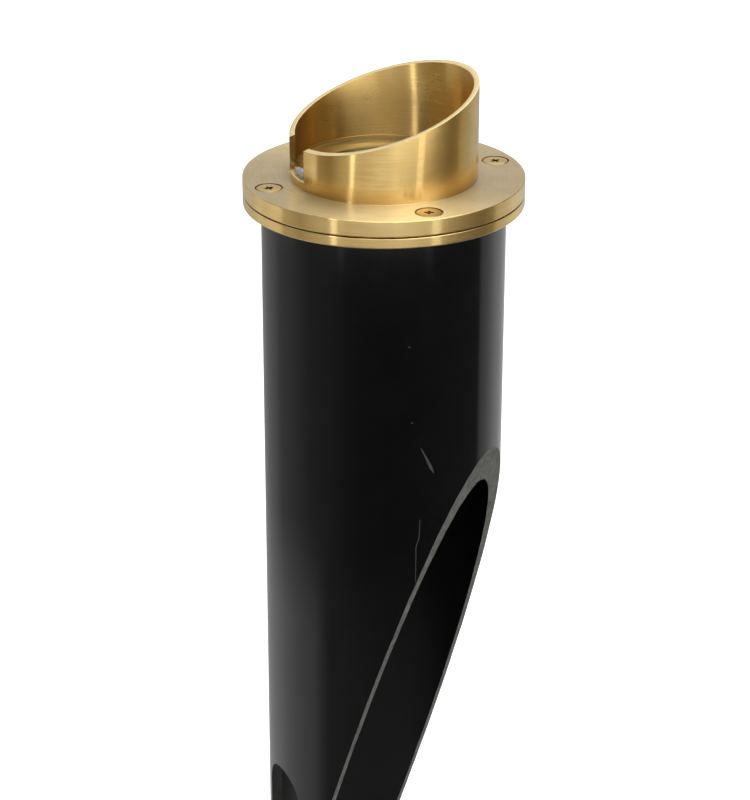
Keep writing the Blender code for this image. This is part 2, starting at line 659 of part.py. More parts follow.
def lamp_pieces():
    """Reflector lamp: bowl, front glass, light capsule, base and pins."""
    outer_rim = LAMP_RIM_R - GIMBAL_LIP_OVERLAP - LAMP_FIT
    recess_r = LAMP_RIM_R - LAMP_RIM_WALL
    recess_z = RIM_TOP_Z - LAMP_FRONT_GLASS_T - 2 * CLOSE_GAP
    inner_neck = CAPSULE_R + SEAT_GAP
    shares = [i / (BOWL_POINTS - 1) for i in range(BOWL_POINTS)]
    outer = [(bowl_radius(s, outer_rim, LAMP_NECK_R), RIM_BOTTOM_Z - s * LAMP_BOWL_DEPTH) for s in shares]
    inner_depth = LAMP_BOWL_DEPTH - LAMP_WALL
    inner_rim = outer_rim - LAMP_WALL
    inner = [(bowl_radius(s, inner_rim, inner_neck), RIM_BOTTOM_Z - s * inner_depth) for s in shares]
    profile = [
        (LAMP_RIM_R, RIM_TOP_Z),
        (LAMP_RIM_R, RIM_BOTTOM_Z),
        *outer,
        (LAMP_NECK_R, NECK_END_Z),
        (inner_neck, NECK_END_Z),
        *reversed(inner),
        (inner_rim, recess_z),
        (recess_r, recess_z),
        (recess_r, RIM_TOP_Z),
    ]
    reflector = turned("lamp_reflector", profile, MIRROR_GLASS, LAMP_STEPS)

    glass_top = RIM_TOP_Z - CLOSE_GAP
    glass_bottom = glass_top - LAMP_FRONT_GLASS_T
    glass_r = recess_r - CLOSE_GAP
    front = [(0.0, glass_top), (glass_r, glass_top), (glass_r, glass_bottom), (0.0, glass_bottom)]
    cover_glass = turned("lamp_cover_glass", front, CLEAR_GLASS, LAMP_STEPS)

    capsule_top = NECK_END_Z + CAPSULE_LENGTH
    shoulder = capsule_top - CAPSULE_R
    bends = (math.pi / 6, math.pi / 3)
    dome = [(math.sin(a) * CAPSULE_R, shoulder + math.cos(a) * CAPSULE_R) for a in bends]
    body = [(0.0, capsule_top), *dome, (CAPSULE_R, shoulder), (CAPSULE_R, NECK_END_Z), (0.0, NECK_END_Z)]
    capsule = turned("lamp_capsule", body, CLEAR_GLASS, SMALL_STEPS)

    middle = (0.0, 0.0, (BASE_TOP_Z + BASE_BOTTOM_Z) / 2)
    base = box("lamp_base", (LAMP_BASE_X, LAMP_BASE_Y, LAMP_BASE_T), middle, WHITE_CERAMIC)
    round_corners(base, LAMP_BASE_CORNER)

    made = [reflector, cover_glass, capsule, base]
    for number, side in ((1, -1), (2, 1)):
        x = side * PIN_SPACING / 2
        low, high = (x, 0.0, PIN_BOTTOM_Z), (x, 0.0, PIN_TOP_Z)
        made.append(rod(f"lamp_pin_{number}", PIN_R, low, high, SPRING_STEEL))
    return made


def lamp_socket():
    middle = (0.0, 0.0, (SOCKET_TOP_Z + SOCKET_BOTTOM_Z) / 2)
    socket = box("lamp_socket", (SOCKET_X, SOCKET_Y, SOCKET_T), middle, WHITE_CERAMIC)
    round_corners(socket, SOCKET_CORNER)
    for side in (-1, 1):
        x = side * PIN_SPACING / 2
        low = (x, 0.0, PIN_BOTTOM_Z - SEAT_GAP)
        combine(socket, rod(f"pin_hole_{side + 1}", PIN_R + CLOSE_GAP, low, (x, 0.0, PIN_TOP_Z)))
    return [socket]


def cable_gland():
    """Gland body through the can's floor, with its washer, locknut, rubber bush and clamping nut."""
    hex_r = hex_radius(GLAND_HEX_ACROSS)
    core_r = GLAND_HEX_ACROSS / 2 - EDGE_CHAMFER
    pocket_z = GLAND_HEX_BOTTOM_Z + SEAT_GAP

    body = rod(
        "gland_body", hex_r, (0.0, 0.0, GLAND_HEX_BOTTOM_Z), (0.0, 0.0, GLAND_HEX_TOP_Z), GLAND_NYLON, 6
    )
    low, high = (0.0, 0.0, GLAND_HEX_BOTTOM_Z - CUT_OVERRUN), (0.0, 0.0, GLAND_HEX_TOP_Z + CUT_OVERRUN)
    core_hole_r = (GLAND_POCKET_R + min(GLAND_LOWER_R, GLAND_THREAD_R)) / 2
    combine(body, rod("gland_core_hole", core_hole_r, low, high, steps=RING_STEPS))
    core = [
        (GLAND_THREAD_R, LOCKNUT_TOP_Z),
        (GLAND_THREAD_R, GLAND_HEX_TOP_Z - EDGE_CHAMFER),
        (core_r, GLAND_HEX_TOP_Z - EDGE_CHAMFER),
        (core_r, GLAND_HEX_BOTTOM_Z + EDGE_CHAMFER),
        (GLAND_LOWER_R, GLAND_HEX_BOTTOM_Z + EDGE_CHAMFER),
        (GLAND_LOWER_R, GLAND_END_Z),
        (GLAND_POCKET_R, GLAND_END_Z),
        (GLAND_POCKET_R, pocket_z),
        (GLAND_BORE_R, pocket_z),
        (GLAND_BORE_R, LOCKNUT_TOP_Z),
    ]
    combine(body, turned("gland_core", core, steps=RING_STEPS), "UNION")

    washer_r = GLAND_HOLE_R + GLAND_WASHER_WIDTH
    washer = ring(
        "gland_washer", GLAND_HOLE_R, washer_r, WASHER_BOTTOM_Z, WASHER_TOP_Z, BLACK_RUBBER, RING_STEPS
    )

    locknut = rod(
        "gland_locknut", hex_r, (0.0, 0.0, LOCKNUT_BOTTOM_Z), (0.0, 0.0, LOCKNUT_TOP_Z), GLAND_NYLON, 6
    )
    low, high = (0.0, 0.0, LOCKNUT_BOTTOM_Z - CUT_OVERRUN), (0.0, 0.0, LOCKNUT_TOP_Z + CUT_OVERRUN)
    combine(locknut, rod("locknut_hole", GLAND_HOLE_R, low, high, steps=RING_STEPS))

    bush_r = GLAND_POCKET_R - SCREW_GAP
    bush_top = pocket_z - SEAT_GAP
    bush = ring("gland_bush", BUSH_BORE_R, bush_r, BUSH_BOTTOM_Z, bush_top, BLACK_RUBBER, RING_STEPS)

    nut = rod("gland_nut", hex_r, (0.0, 0.0, NUT_BOTTOM_Z), (0.0, 0.0, NUT_TOP_Z), GLAND_NYLON, 6)
    inner_r = GLAND_LOWER_R + SCREW_GAP
    bore = [
        (0.0, NUT_TOP_Z + CUT_OVERRUN),
        (inner_r, NUT_TOP_Z + CUT_OVERRUN),
        (inner_r, NUT_STEP_Z),
        (GLAND_NUT_MOUTH_R, (NUT_STEP_Z + NUT_BOTTOM_Z) / 2),
        (GLAND_NUT_MOUTH_R, NUT_BOTTOM_Z - CUT_OVERRUN),
        (0.0, NUT_BOTTOM_Z - CUT_OVERRUN),
    ]
    combine(nut, turned("gland_nut_bore", bore, steps=RING_STEPS))
    return [body, washer, locknut, bush, nut]


def axis_empty(name, height, parent=None):
    empty = bpy.data.objects.new(name, None)
    PARTS.objects.link(empty)
    empty.location.z = height
    if parent is not None:
        empty.parent = parent
        empty.location.z -= parent.location.z
    return empty


def hang(pieces, empty, height):
    """Parents pieces to an empty on their joint's axis and leaves them where they are."""
    for piece in pieces:
        piece.parent = empty
        piece.matrix_parent_inverse = Matrix.Translation((0.0, 0.0, -height))


def bake(pieces):
    """Applies each piece's modifiers and shades it smooth up to its sharp edges."""
    graph = bpy.context.evaluated_depsgraph_get()
    meshes = {piece: bpy.data.meshes.new_from_object(piece.evaluated_get(graph)) for piece in pieces}
    for piece, mesh in meshes.items():
        piece.modifiers.clear()
        piece.data = mesh
        mesh.shade_smooth()
        mesh.set_sharp_from_angle(angle=math.radians(SHARP_ANGLE_DEG))


clear_scene()
PARTS = new_collection("in_ground_well_light")
CUTTERS = new_collection("cutters")

sleeve = sleeve_tube()
can = housing_can()
cover = cowl_flange() + lens_glass() + lens_seal() + cover_screws()
head = flange_gasket() + sleeve_orings() + lamp_carrier() + cable_gland()
clip = lamp_clip()
lamp = gimbal_ring() + pivots() + lamp_pieces() + lamp_socket()

head_axis = axis_empty("head_turn_axis", 0.0)
cover_axis = axis_empty("cover_lift_axis", 0.0, head_axis)
tilt_axis = axis_empty("lamp_tilt_axis", PIVOT_Z, head_axis)
bake(sleeve + can + cover + head + lamp)
hang(can + head, head_axis, 0.0)
hang(cover, cover_axis, 0.0)
hang(lamp + clip, tilt_axis, PIVOT_Z)
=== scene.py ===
# %% [markdown]
# # A brass well light over a pipe sleeve
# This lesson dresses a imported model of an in-ground garden light. A brass cowl with a slanted rim stands on
# a round flange, a glass lens closes the brass can under it, and a black plastic pipe, sawn to a stake,
# takes the can and goes into the ground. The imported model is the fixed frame: every piece here is made in
# its place, in metres, with Z up and the ground at Z = 0.

# %% Load the frame
import math

import bmesh
import bpy
from mathutils import Matrix, Vector


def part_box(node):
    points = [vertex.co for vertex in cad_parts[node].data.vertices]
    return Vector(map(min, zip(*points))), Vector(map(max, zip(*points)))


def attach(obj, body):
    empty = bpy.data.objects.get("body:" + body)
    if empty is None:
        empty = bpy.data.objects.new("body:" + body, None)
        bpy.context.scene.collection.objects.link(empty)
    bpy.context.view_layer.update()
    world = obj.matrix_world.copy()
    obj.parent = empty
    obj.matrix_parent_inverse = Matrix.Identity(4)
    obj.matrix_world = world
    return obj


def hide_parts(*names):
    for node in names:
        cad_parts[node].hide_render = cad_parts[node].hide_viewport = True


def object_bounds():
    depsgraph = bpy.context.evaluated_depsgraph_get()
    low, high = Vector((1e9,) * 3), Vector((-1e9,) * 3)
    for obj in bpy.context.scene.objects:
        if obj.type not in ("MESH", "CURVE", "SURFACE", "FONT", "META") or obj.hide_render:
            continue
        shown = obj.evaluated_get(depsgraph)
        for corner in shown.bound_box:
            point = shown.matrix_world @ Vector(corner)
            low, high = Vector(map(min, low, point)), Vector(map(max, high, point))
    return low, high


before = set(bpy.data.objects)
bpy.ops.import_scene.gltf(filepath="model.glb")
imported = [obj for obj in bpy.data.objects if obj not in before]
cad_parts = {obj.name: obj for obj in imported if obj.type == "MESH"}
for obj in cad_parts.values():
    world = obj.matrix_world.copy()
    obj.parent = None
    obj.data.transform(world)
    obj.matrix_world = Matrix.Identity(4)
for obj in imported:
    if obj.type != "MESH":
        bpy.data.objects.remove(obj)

cad_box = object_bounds()
MM = 0.001
print("CAD nodes:", len(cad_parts), "box:", [round(v / MM, 1) for corner in cad_box for v in corner])

# %% [markdown]
# ## The camera
# The picture was taken from about 0.8 m away, looking down by 24 degrees, with a long lens. The place was
# solved once from the ellipses of the flange and the rim, so here it is only set. A matrix from the three
# view directions is used instead of Euler angles, because the small roll is then easy to read.

# %% Set the camera
CAMERA_PLACE = Vector((-0.006398, -0.744456, 0.262747))
PITCH, YAW, ROLL = (math.radians(angle) for angle in (23.87, 0.30, 0.15))
SENSOR_MM, LENS_MM = 36, 116.17


def link(name, data):
    """A new object in the scene."""
    made = bpy.data.objects.new(name, data)
    bpy.context.collection.objects.link(made)
    return made


ahead = Vector((math.sin(YAW) * math.cos(PITCH), math.cos(YAW) * math.cos(PITCH), -math.sin(PITCH)))
level_right = Vector((math.cos(YAW), -math.sin(YAW), 0))
level_up = level_right.cross(ahead)
right = level_right * math.cos(ROLL) + level_up * math.sin(ROLL)
up = level_up * math.cos(ROLL) - level_right * math.sin(ROLL)
camera = link("photo_camera", bpy.data.cameras.new("photo_camera"))
camera.data.sensor_width, camera.data.lens = SENSOR_MM, LENS_MM
camera.matrix_world = Matrix.Translation(CAMERA_PLACE) @ Matrix((right, up, -ahead)).transposed().to_4x4()
bpy.context.scene.camera = camera
bpy.context.scene.view_settings.view_transform = "Standard"
print("camera", [round(v, 3) for v in CAMERA_PLACE], "lens", LENS_MM)

# %% [markdown]
# ## Small helpers for every node tree
# Colours are written as the sRGB hex values that a colour picker shows, and Blender wants linear light, so
# one function converts them. One more function adds a node, sets its properties and fills its inputs, with
# a link where the value is a socket. It serves materials and Geometry Nodes alike, and it returns the output
# that the next node takes. Patterns on turned pieces follow the axis, so one function measures round it.

# %% Colour and node helpers
def linear(hex_code):
    """Linear RGBA of an sRGB hex colour."""
    parts = [int(hex_code[i:i + 2], 16) / 255 for i in (1, 3, 5)]
    return tuple(p / 12.92 if p <= 0.04045 else ((p + 0.055) / 1.055) ** 2.4 for p in parts) + (1.0,)


def add(tree, kind, inputs=(), out=None, **settings):
    """Adds a node and returns its named output, or else its first one in use, or the node if it has none.
    Inputs are values, or sockets to link, in order or by name. Shader nodes go by their short names."""
    made = tree.nodes.new(kind if "Node" in kind else "ShaderNode" + kind)
    for name, value in settings.items():
        setattr(made, name, value)
    for key, value in inputs.items() if isinstance(inputs, dict) else enumerate(inputs):
        if isinstance(value, bpy.types.NodeSocket):
            tree.links.new(value, made.inputs[key])
        else:
            made.inputs[key].default_value = value
    return made.outputs[out] if out else next((socket for socket in made.outputs if socket.enabled), made)


def new_material(name):
    """An empty node material and its tree."""
    material = bpy.data.materials.new(name)
    material.use_nodes = True
    material.node_tree.nodes.clear()
    return material, material.node_tree


def round_the_axis(tree):
    """Object coordinates as sockets: place, height, level vector, reach from the axis and azimuth, in metres
    and radians. The azimuth is 0 towards the camera and grows to the right."""
    place = add(tree, "TexCoord", out="Object")
    axes = add(tree, "SeparateXYZ", (place,)).node.outputs
    level = add(tree, "CombineXYZ", (axes["X"], axes["Y"]))
    toward = add(tree, "Math", (axes["Y"], -1.0), operation="MULTIPLY")
    return {"place": place, "height": axes["Z"], "level": level,
            "reach": add(tree, "VectorMath", (level,), operation="LENGTH"),
            "azimuth": add(tree, "Math", (axes["X"], toward), operation="ARCTAN2")}


print("mid grey, linear:", round(linear("#808080")[0], 3))

# %% [markdown]
# ## The studio
# The picture has a white ground, and the brass shows what stood round it: a bright front between two narrow
# strips, dark warm gaps at the sides, grey walls behind and soft light from overhead. A light tent gives all
# that with a cylinder whose emission follows the azimuth. A ramp holds the brightness at each height of the
# wall, so each reflection on the brass can be traced to one stop. The camera doesn't see the tent. The black
# pipe mirrors the table instead, so a card lies there that only reflections see: pale to the left and
# behind, dark in front.

# %% Floor and world
FLOOR_GAP, CARD_GAP = 0.0003, 0.0002        # metres, below the part and above the floor
FLOOR_Z = cad_box[0].z - FLOOR_GAP
FLOOR_CORNERS = ((-5, -5), (5, -5), (5, 5), (-5, 5))        # metres
FLOOR_GLOW, SKY_FILL = 0.68, 0.45


def seen_by_mirrors(tree):
    """1 for camera, glossy and transmission rays, which all see the white ground, and 0 for the rest."""
    rays = add(tree, "LightPath").node.outputs
    first = add(tree, "Math", (rays["Is Camera Ray"], rays["Is Glossy Ray"]), operation="MAXIMUM")
    return add(tree, "Math", (first, rays["Is Transmission Ray"]), operation="MAXIMUM")


def stage_piece(name, points, faces, material):
    """A stage mesh, which isn't part of the object."""
    mesh = bpy.data.meshes.new(name)
    mesh.from_pydata(points, [], faces)
    mesh.materials.append(material)
    made = link(name, mesh)
    return made


floor_paper, tree = new_material("white_paper_floor")
lit = add(tree, "BsdfDiffuse", {"Color": linear("#E7E7E5")})
glow_level = add(tree, "Math", (seen_by_mirrors(tree), FLOOR_GLOW), operation="MULTIPLY")
glow = add(tree, "Emission", {"Strength": glow_level})
add(tree, "OutputMaterial", {"Surface": add(tree, "AddShader", (lit, glow))})
stage_piece("floor", [(x, y, FLOOR_Z) for x, y in FLOOR_CORNERS], [range(4)], floor_paper)

world = bpy.data.worlds.new("studio_world")
world.use_nodes = True
tree = world.node_tree
tree.nodes.clear()
sky_level = add(tree, "MapRange", {"Value": seen_by_mirrors(tree), "To Min": SKY_FILL, "To Max": 1.0})
sky = add(tree, "Background", {"Color": (1, 1, 1, 1), "Strength": sky_level})
add(tree, "OutputWorld", {"Surface": sky})
bpy.context.scene.world = world
print("floor at", round(FLOOR_Z, 4))

# %% Light tent, table card and softboxes
TENT_RADIUS, TENT_TOP, TENT_SIDES = 2.4, 1.30, 96
TENT_WALL = (        # azimuth in degrees, 0 behind the camera and growing to the right, and brightness
    (-180, 0.8), (-166, 0.8), (-158, 0.6), (-130, 0.30), (-92, 0.22), (-70, 0.16), (-60, 0.16), (-44, 0.45),
    (-43, 5.5), (-39.5, 5.5), (-38.5, 0.85), (-20, 0.75), (0, 0.9), (12, 2.0), (24, 2.9), (40, 3.4),
    (50, 3.4), (58, 2.8), (68, 1.5), (80, 0.5), (97, 0.12), (130, 0.12), (158, 0.55), (166, 0.8), (180, 0.8))
TENT_HIGH = (        # the same wall from 1.15 m up
    (-180, 0.18), (-130, 0.40), (-92, 0.55), (-60, 0.40), (-44, 0.40), (-43, 4.5), (-39.5, 4.5), (-38.5, 1.3),
    (0, 1.5), (20, 2.6), (50, 4.0), (58, 3.4), (68, 1.6), (80, 0.4), (97, 0.08), (130, 0.10), (180, 0.18))
TABLE_NEAR = (       # the table within 0.37 m of the foot, as the lower pipe shows it
    (-180, 0.40), (-148, 0.48), (-130, 0.63), (-115, 0.76), (-95, 0.78), (-68, 0.66), (-60, 0.38),
    (-52, 0.18), (-41, 0.18), (-21, 0.14), (7, 0.07), (60, 0.10), (99, 0.12), (103, 0.40), (128, 0.70),
    (180, 0.50))
TABLE_FAR = (        # the table farther out, as the upper pipe shows it
    (-180, 0.36), (-150, 0.39), (-122, 0.46), (-112, 0.37), (-97, 0.38), (-84, 0.32), (-72, 0.23),
    (-61, 0.19), (-50, 0.17), (-41, 0.11), (-21, 0.04), (6, 0.025), (63, 0.05), (99, 0.08), (103, 0.40),
    (128, 0.74), (180, 0.50))
TABLE_BEYOND = (     # past 0.9 m and up to the foot of the wall, which the brass shows
    (-180, 0.42), (-130, 0.52), (-110, 0.78), (-94, 0.94), (-90, 0.87), (-86, 0.42), (-69, 0.34),
    (-58, 0.55), (-46, 0.70), (-42.5, 0.80), (-41.5, 1.8), (-38.0, 1.8), (-37.0, 0.92), (-27, 0.88),
    (-17, 0.96), (2, 1.09), (11, 1.18), (31, 0.88), (36.5, 0.88), (38, 1.45), (44, 1.45), (46, 0.62),
    (51, 0.45), (62, 0.32), (74, 0.24), (86, 0.22), (95, 0.30), (100, 0.45), (116, 0.50), (134, 0.60),
    (180, 0.42))
CEILING = ((-180, 0.20), (180, 0.20))
WARM_SIDES = 112     # degrees; farther round, the dark parts of the tent are grey
GREEN_LOSS, BLUE_LOSS = 0.20, 0.55       # shares that full warmth takes out of the dark
SOFTBOXES = (        # name, size across and deep, place of its middle, brightness
    ("softbox_overhead", (1.0, 2.2), (0.20, 0.45, 1.28), 2.9),
    ("strip_behind_left", (0.6, 0.5), (-0.85, 1.85, 1.28), 1.8),
)


def ramp_by_azimuth(tree, azimuth, stops, warmth):
    """The light that (azimuth, brightness) stops give round Z. Warmth browns the dark ones."""
    turn = add(tree, "MapRange", {"Value": azimuth, "From Min": -math.pi, "From Max": math.pi})
    ramp = add(tree, "ValToRGB", {"Fac": turn})
    marks = ramp.node.color_ramp.elements
    while len(marks) < len(stops):
        marks.new(1.0)
    for mark, (angle, level) in zip(marks, stops):
        mark.position = (angle + 180) / 360
        shade = warmth * max(0.0, 1 - level) if abs(angle) < WARM_SIDES else 0.0
        mark.color = (level, level * (1 - GREEN_LOSS * shade), level * (1 - BLUE_LOSS * shade), 1)
    return ramp


def glowing(name, measure, rings):
    """Emission that follows the azimuth. Rings of (height or reach in metres, stops, warmth) blend."""
    material, tree = new_material(name)
    where = round_the_axis(tree)
    light = ramp_by_azimuth(tree, where["azimuth"], *rings[0][1:])
    for (before, *_), (place, stops, warmth) in zip(rings, rings[1:]):
        share = add(tree, "MapRange", {"Value": where[measure], "From Min": before, "From Max": place})
        ring = ramp_by_azimuth(tree, where["azimuth"], stops, warmth)
        light = add(tree, "Mix", {"Factor": share, "A": light, "B": ring}, data_type="RGBA")
    add(tree, "OutputMaterial", {"Surface": add(tree, "Emission", {"Color": light, "Strength": 1.0})})
    return material


circle = [(TENT_RADIUS * math.sin(turn), -TENT_RADIUS * math.cos(turn))
          for turn in (step * math.tau / TENT_SIDES for step in range(TENT_SIDES))]
wall_points = [(x, y, z) for z in (FLOOR_Z, TENT_TOP) for x, y in circle]
wall_faces = [((i + 1) % TENT_SIDES, i, TENT_SIDES + i, TENT_SIDES + (i + 1) % TENT_SIDES)
              for i in range(TENT_SIDES)]
tent = stage_piece("light_tent", wall_points, wall_faces, glowing("light_tent_wall", "height", (
    (-0.05, TABLE_BEYOND, 1), (0.25, TENT_WALL, 1), (1.15, TENT_HIGH, 1))))
ceiling = stage_piece("tent_ceiling", wall_points[TENT_SIDES:], [range(TENT_SIDES - 1, -1, -1)],
                      glowing("tent_ceiling", "reach", ((0, CEILING, 0),)))
card = stage_piece("table_card", [(x, y, FLOOR_Z + CARD_GAP) for x, y in circle], [range(TENT_SIDES)],
                   glowing("table_card", "reach", ((0.37, TABLE_NEAR, 0), (0.47, TABLE_FAR, 0),
                                                   (0.89, TABLE_FAR, 0), (0.925, TABLE_BEYOND, 1))))
for unseen in (tent, ceiling, card):
    unseen.visible_camera = False
card.visible_diffuse = card.visible_shadow = False

for name, (across, deep), spot, level in SOFTBOXES:
    panel = bpy.data.lights.new(name, "AREA")
    panel.shape, panel.size, panel.size_y = "RECTANGLE", across, deep
    panel.energy = level * math.pi * across * deep
    link(name, panel).location = spot
    print(name, round(panel.energy, 1), "W")
print("tent stops:", len(TENT_WALL))

# %% [markdown]
# ## Turned brass
# Cowl, flange and can are brass, turned on a lathe and lacquered. The tool leaves fine rings, so light
# spreads across them and stays narrow along them: that is what anisotropy does. The default tangent runs
# round Z, so a quarter turn of the anisotropy spreads the highlight up the wall and out across the flange.
# The rings themselves are noise that is fine across radius and height and long round the axis, which four
# dimensions allow: radius, height and the sine and cosine of the azimuth. The flange's face is cut with a
# coarser feed and looks more satin than the walls, the bore lies between the two, and the sloped rim is
# milled, so its highlight isn't drawn out. The flange's edge and the can get a paler brass: painted light
# that lifts these sides, which mirror the dark table.
# The wall of the hole under the lens is painted a dark brown, as painted shade.

# %% Turned brass
RING_SPACING = 0.30      # mm; coarser than a finishing cut, so that it shows
PIT_SPACING = 2.2        # mm between the small casting pits that show as specks
CLOUD_SIZE = 9           # mm; slow changes of tone


def turned_brass(name, pale, deep, roughness, bump, spread, metallic, lacquer):
    """Lacquered brass with lathe rings round Z: bright, warm, with a highlight drawn out across the rings."""
    material, tree = new_material(name)
    where = round_the_axis(tree)
    way = add(tree, "VectorMath", (where["level"],), operation="NORMALIZE")
    cosine, sine = add(tree, "SeparateXYZ", (way,)).node.outputs[:2]
    in_mm = [add(tree, "Math", (where[length], 1 / MM), operation="MULTIPLY")
             for length in ("reach", "height")]
    rings = add(tree, "TexNoise", {
        "Vector": add(tree, "CombineXYZ", (*in_mm, cosine)), "W": sine, "Scale": 1 / RING_SPACING,
        "Detail": 2.0, "Roughness": 0.6}, noise_dimensions="4D")
    clouds = add(tree, "TexNoise", {"Vector": where["place"], "Scale": 1 / (CLOUD_SIZE * MM), "Detail": 3.0})
    both = add(tree, "Math", (rings, clouds), operation="ADD")
    tone = add(tree, "MapRange", {"Value": both, "From Min": 0.7, "From Max": 1.3})
    colour = add(tree, "Mix", {"Factor": tone, "A": linear(deep), "B": linear(pale)}, data_type="RGBA")
    pits = add(tree, "TexVoronoi", {"Vector": where["place"], "Scale": 1 / (PIT_SPACING * MM)})
    pit = add(tree, "MapRange", {"Value": pits, "From Min": 0.05, "From Max": 0.09,
                                 "To Min": 0.6, "To Max": 0.0})
    colour = add(tree, "Mix", {"Factor": pit, "A": colour, "B": linear("#8A6A32")}, data_type="RGBA")
    rough = add(tree, "MapRange", {"Value": both, "From Min": 0.7, "From Max": 1.3,
                                   "To Min": roughness + 0.05, "To Max": roughness - 0.05})
    ridges = add(tree, "Bump", {"Height": rings, "Strength": bump, "Distance": 0.05 * MM})
    shader = add(tree, "BsdfPrincipled", {
        "Base Color": colour, "Roughness": rough, "Metallic": metallic, "Normal": ridges,
        "Anisotropic": spread, "Anisotropic Rotation": 0.25, "Coat Weight": lacquer, "Coat Roughness": 0.25})
    add(tree, "OutputMaterial", {"Surface": shader})
    return material


# The numbers are roughness, bump, spread of the highlight, metallic and lacquer. The faced and the milled
# surfaces scatter a little light, so they stay below a full metal.
brass = turned_brass("turned_lacquered_brass", "#DABD7C", "#CEAB68", 0.16, 0.12, 1.0, 0.985, 0.12)
# Paler brass for the flange's edge and the can: painted light on sides that mirror the dark table.
paler_side_brass = turned_brass("lacquered_brass_painted_paler", "#F9DC98", "#EFCB86", 0.16, 0.12, 1.0, 0.985, 0.12)
bored_brass = turned_brass("bored_lacquered_brass", "#E8CA84", "#DCB770", 0.31, 0.05, 1.0, 0.985, 0.12)
faced_brass = turned_brass("faced_lacquered_brass", "#E8D2A0", "#DCC28C", 0.58, 0.10, 0.8, 0.86, 1.0)
milled_brass = turned_brass("milled_lacquered_brass", "#F8E4B0", "#F2DA9C", 0.45, 0.05, 0.0, 0.88, 0.3)
# Dark brown brass for the hole under the lens: painted shade.
shaded_aperture_brass = turned_brass("aperture_brass_painted_shade", "#4A3C28", "#2C241A", 0.55, 0.10, 0.6, 0.8, 0.0)
COWL_FINISHES = (faced_brass, milled_brass, shaded_aperture_brass, bored_brass, paler_side_brass)
print("materials", brass.name, [finish.name for finish in COWL_FINISHES])

# %% [markdown]
# ## Black pipe
# The sleeve is extruded PVC drain pipe: nearly black, with a smooth shine and faint draw lines along its
# length. Its sawn end is a dull grey with fine tooth marks. A few scratches are drawn in the material as
# distances to short lines on the surface, in millimetres of arc and height. The inside is duller, since no
# hand has rubbed it.

# %% Extruded PVC
SCRATCHES = (        # from (arc, height) to (arc, height) in mm, with the width at each end
    ((11.45, -66.8), (14.7, -73.7), 0.15, 0.95), ((14.7, -73.7), (15.75, -75.9), 0.95, 0.15),
    ((11.38, -91.1), (11.12, -97.2), 0.2, 0.25), ((11.12, -97.2), (10.18, -100.2), 0.25, 0.25),
    ((10.18, -100.2), (10.13, -112.7), 0.25, 0.15), ((7.41, -33.2), (7.6, -33.4), 0.3, 0.3),
    ((8.54, -58.1), (8.7, -58.2), 0.35, 0.3))
PIPE_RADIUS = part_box("sleeve_tube")[1].x / MM
DRAW_LINES, DUST_SIZE = (1.6, 1.6, 90), 14      # mm; the lines run along the pipe


def scratch_marks(tree, azimuth, height):
    """1 on the scratches and 0 elsewhere, from the arc and height on the pipe's surface."""
    arc = add(tree, "Math", (azimuth, PIPE_RADIUS), operation="MULTIPLY")
    spot = add(tree, "CombineXYZ", (arc, add(tree, "Math", (height, 1 / MM), operation="MULTIPLY")))
    marks = 0.0
    for start, end, thin, wide in SCRATCHES:
        run = Vector((*end, 0)) - Vector((*start, 0))
        from_start = add(tree, "VectorMath", (spot, (*start, 0)), operation="SUBTRACT")
        share = add(tree, "VectorMath", (from_start, run / run.length_squared), operation="DOT_PRODUCT")
        share = add(tree, "Clamp", {"Value": share})
        nearest = add(tree, "VectorMath", {0: run, "Scale": share}, operation="SCALE")
        gap = add(tree, "VectorMath", (from_start, nearest), operation="DISTANCE")
        half = add(tree, "MapRange", {"Value": share, "To Min": thin / 2, "To Max": wide / 2})
        inside = add(tree, "Math", (half, gap), operation="SUBTRACT")
        mark = add(tree, "MapRange", {"Value": inside, "From Min": -0.1, "From Max": 0.1})
        marks = add(tree, "Math", (mark, marks), operation="MAXIMUM")
    return marks


extruded_pvc, tree = new_material("extruded_black_pvc")
where = round_the_axis(tree)
drawn = add(tree, "Mapping", {"Vector": where["place"], "Scale": [1 / (size * MM) for size in DRAW_LINES]})
lines = add(tree, "TexNoise", {"Vector": drawn, "Scale": 1.0, "Detail": 3.0})
dust = add(tree, "TexNoise", {"Vector": where["place"], "Scale": 1 / (DUST_SIZE * MM), "Detail": 6.0,
                              "Roughness": 0.65})
tone = add(tree, "MapRange", {"Value": dust, "From Min": 0.4, "From Max": 0.7})
colour = add(tree, "Mix", {"Factor": tone, "A": linear("#0A0A0B"), "B": linear("#0D0D0E")}, data_type="RGBA")
rough = add(tree, "MapRange", {"Value": dust, "From Min": 0.3, "From Max": 0.7,
                               "To Min": 0.07, "To Max": 0.10})
marks = scratch_marks(tree, where["azimuth"], where["height"])
inner = add(tree, "MapRange", {"Value": where["reach"], "From Min": (PIPE_RADIUS - 2.5) * MM,
                               "From Max": (PIPE_RADIUS - 1.5) * MM, "To Min": 1.0, "To Max": 0.0})
for share, tint, dull in ((marks, "#3B3B3B", 0.6), (inner, "#0B0B0C", 0.38)):
    colour = add(tree, "Mix", {"Factor": share, "A": colour, "B": linear(tint)}, data_type="RGBA")
    rough = add(tree, "MapRange", {"Value": share, "To Min": rough, "To Max": dull})
ripple = add(tree, "Bump", {"Height": lines, "Strength": 0.10, "Distance": 0.1 * MM})
shader = add(tree, "BsdfPrincipled", {"Base Color": colour, "Roughness": rough, "Normal": ripple, "IOR": 1.53,
                                      "Specular IOR Level": 0.42})
add(tree, "OutputMaterial", {"Surface": shader})
print("material", extruded_pvc.name, "scratches:", len(SCRATCHES))

# %% Sawn and routed PVC
TEETH_SIZE, SMEAR_SIZE = 0.7, 4          # mm; what the saw left


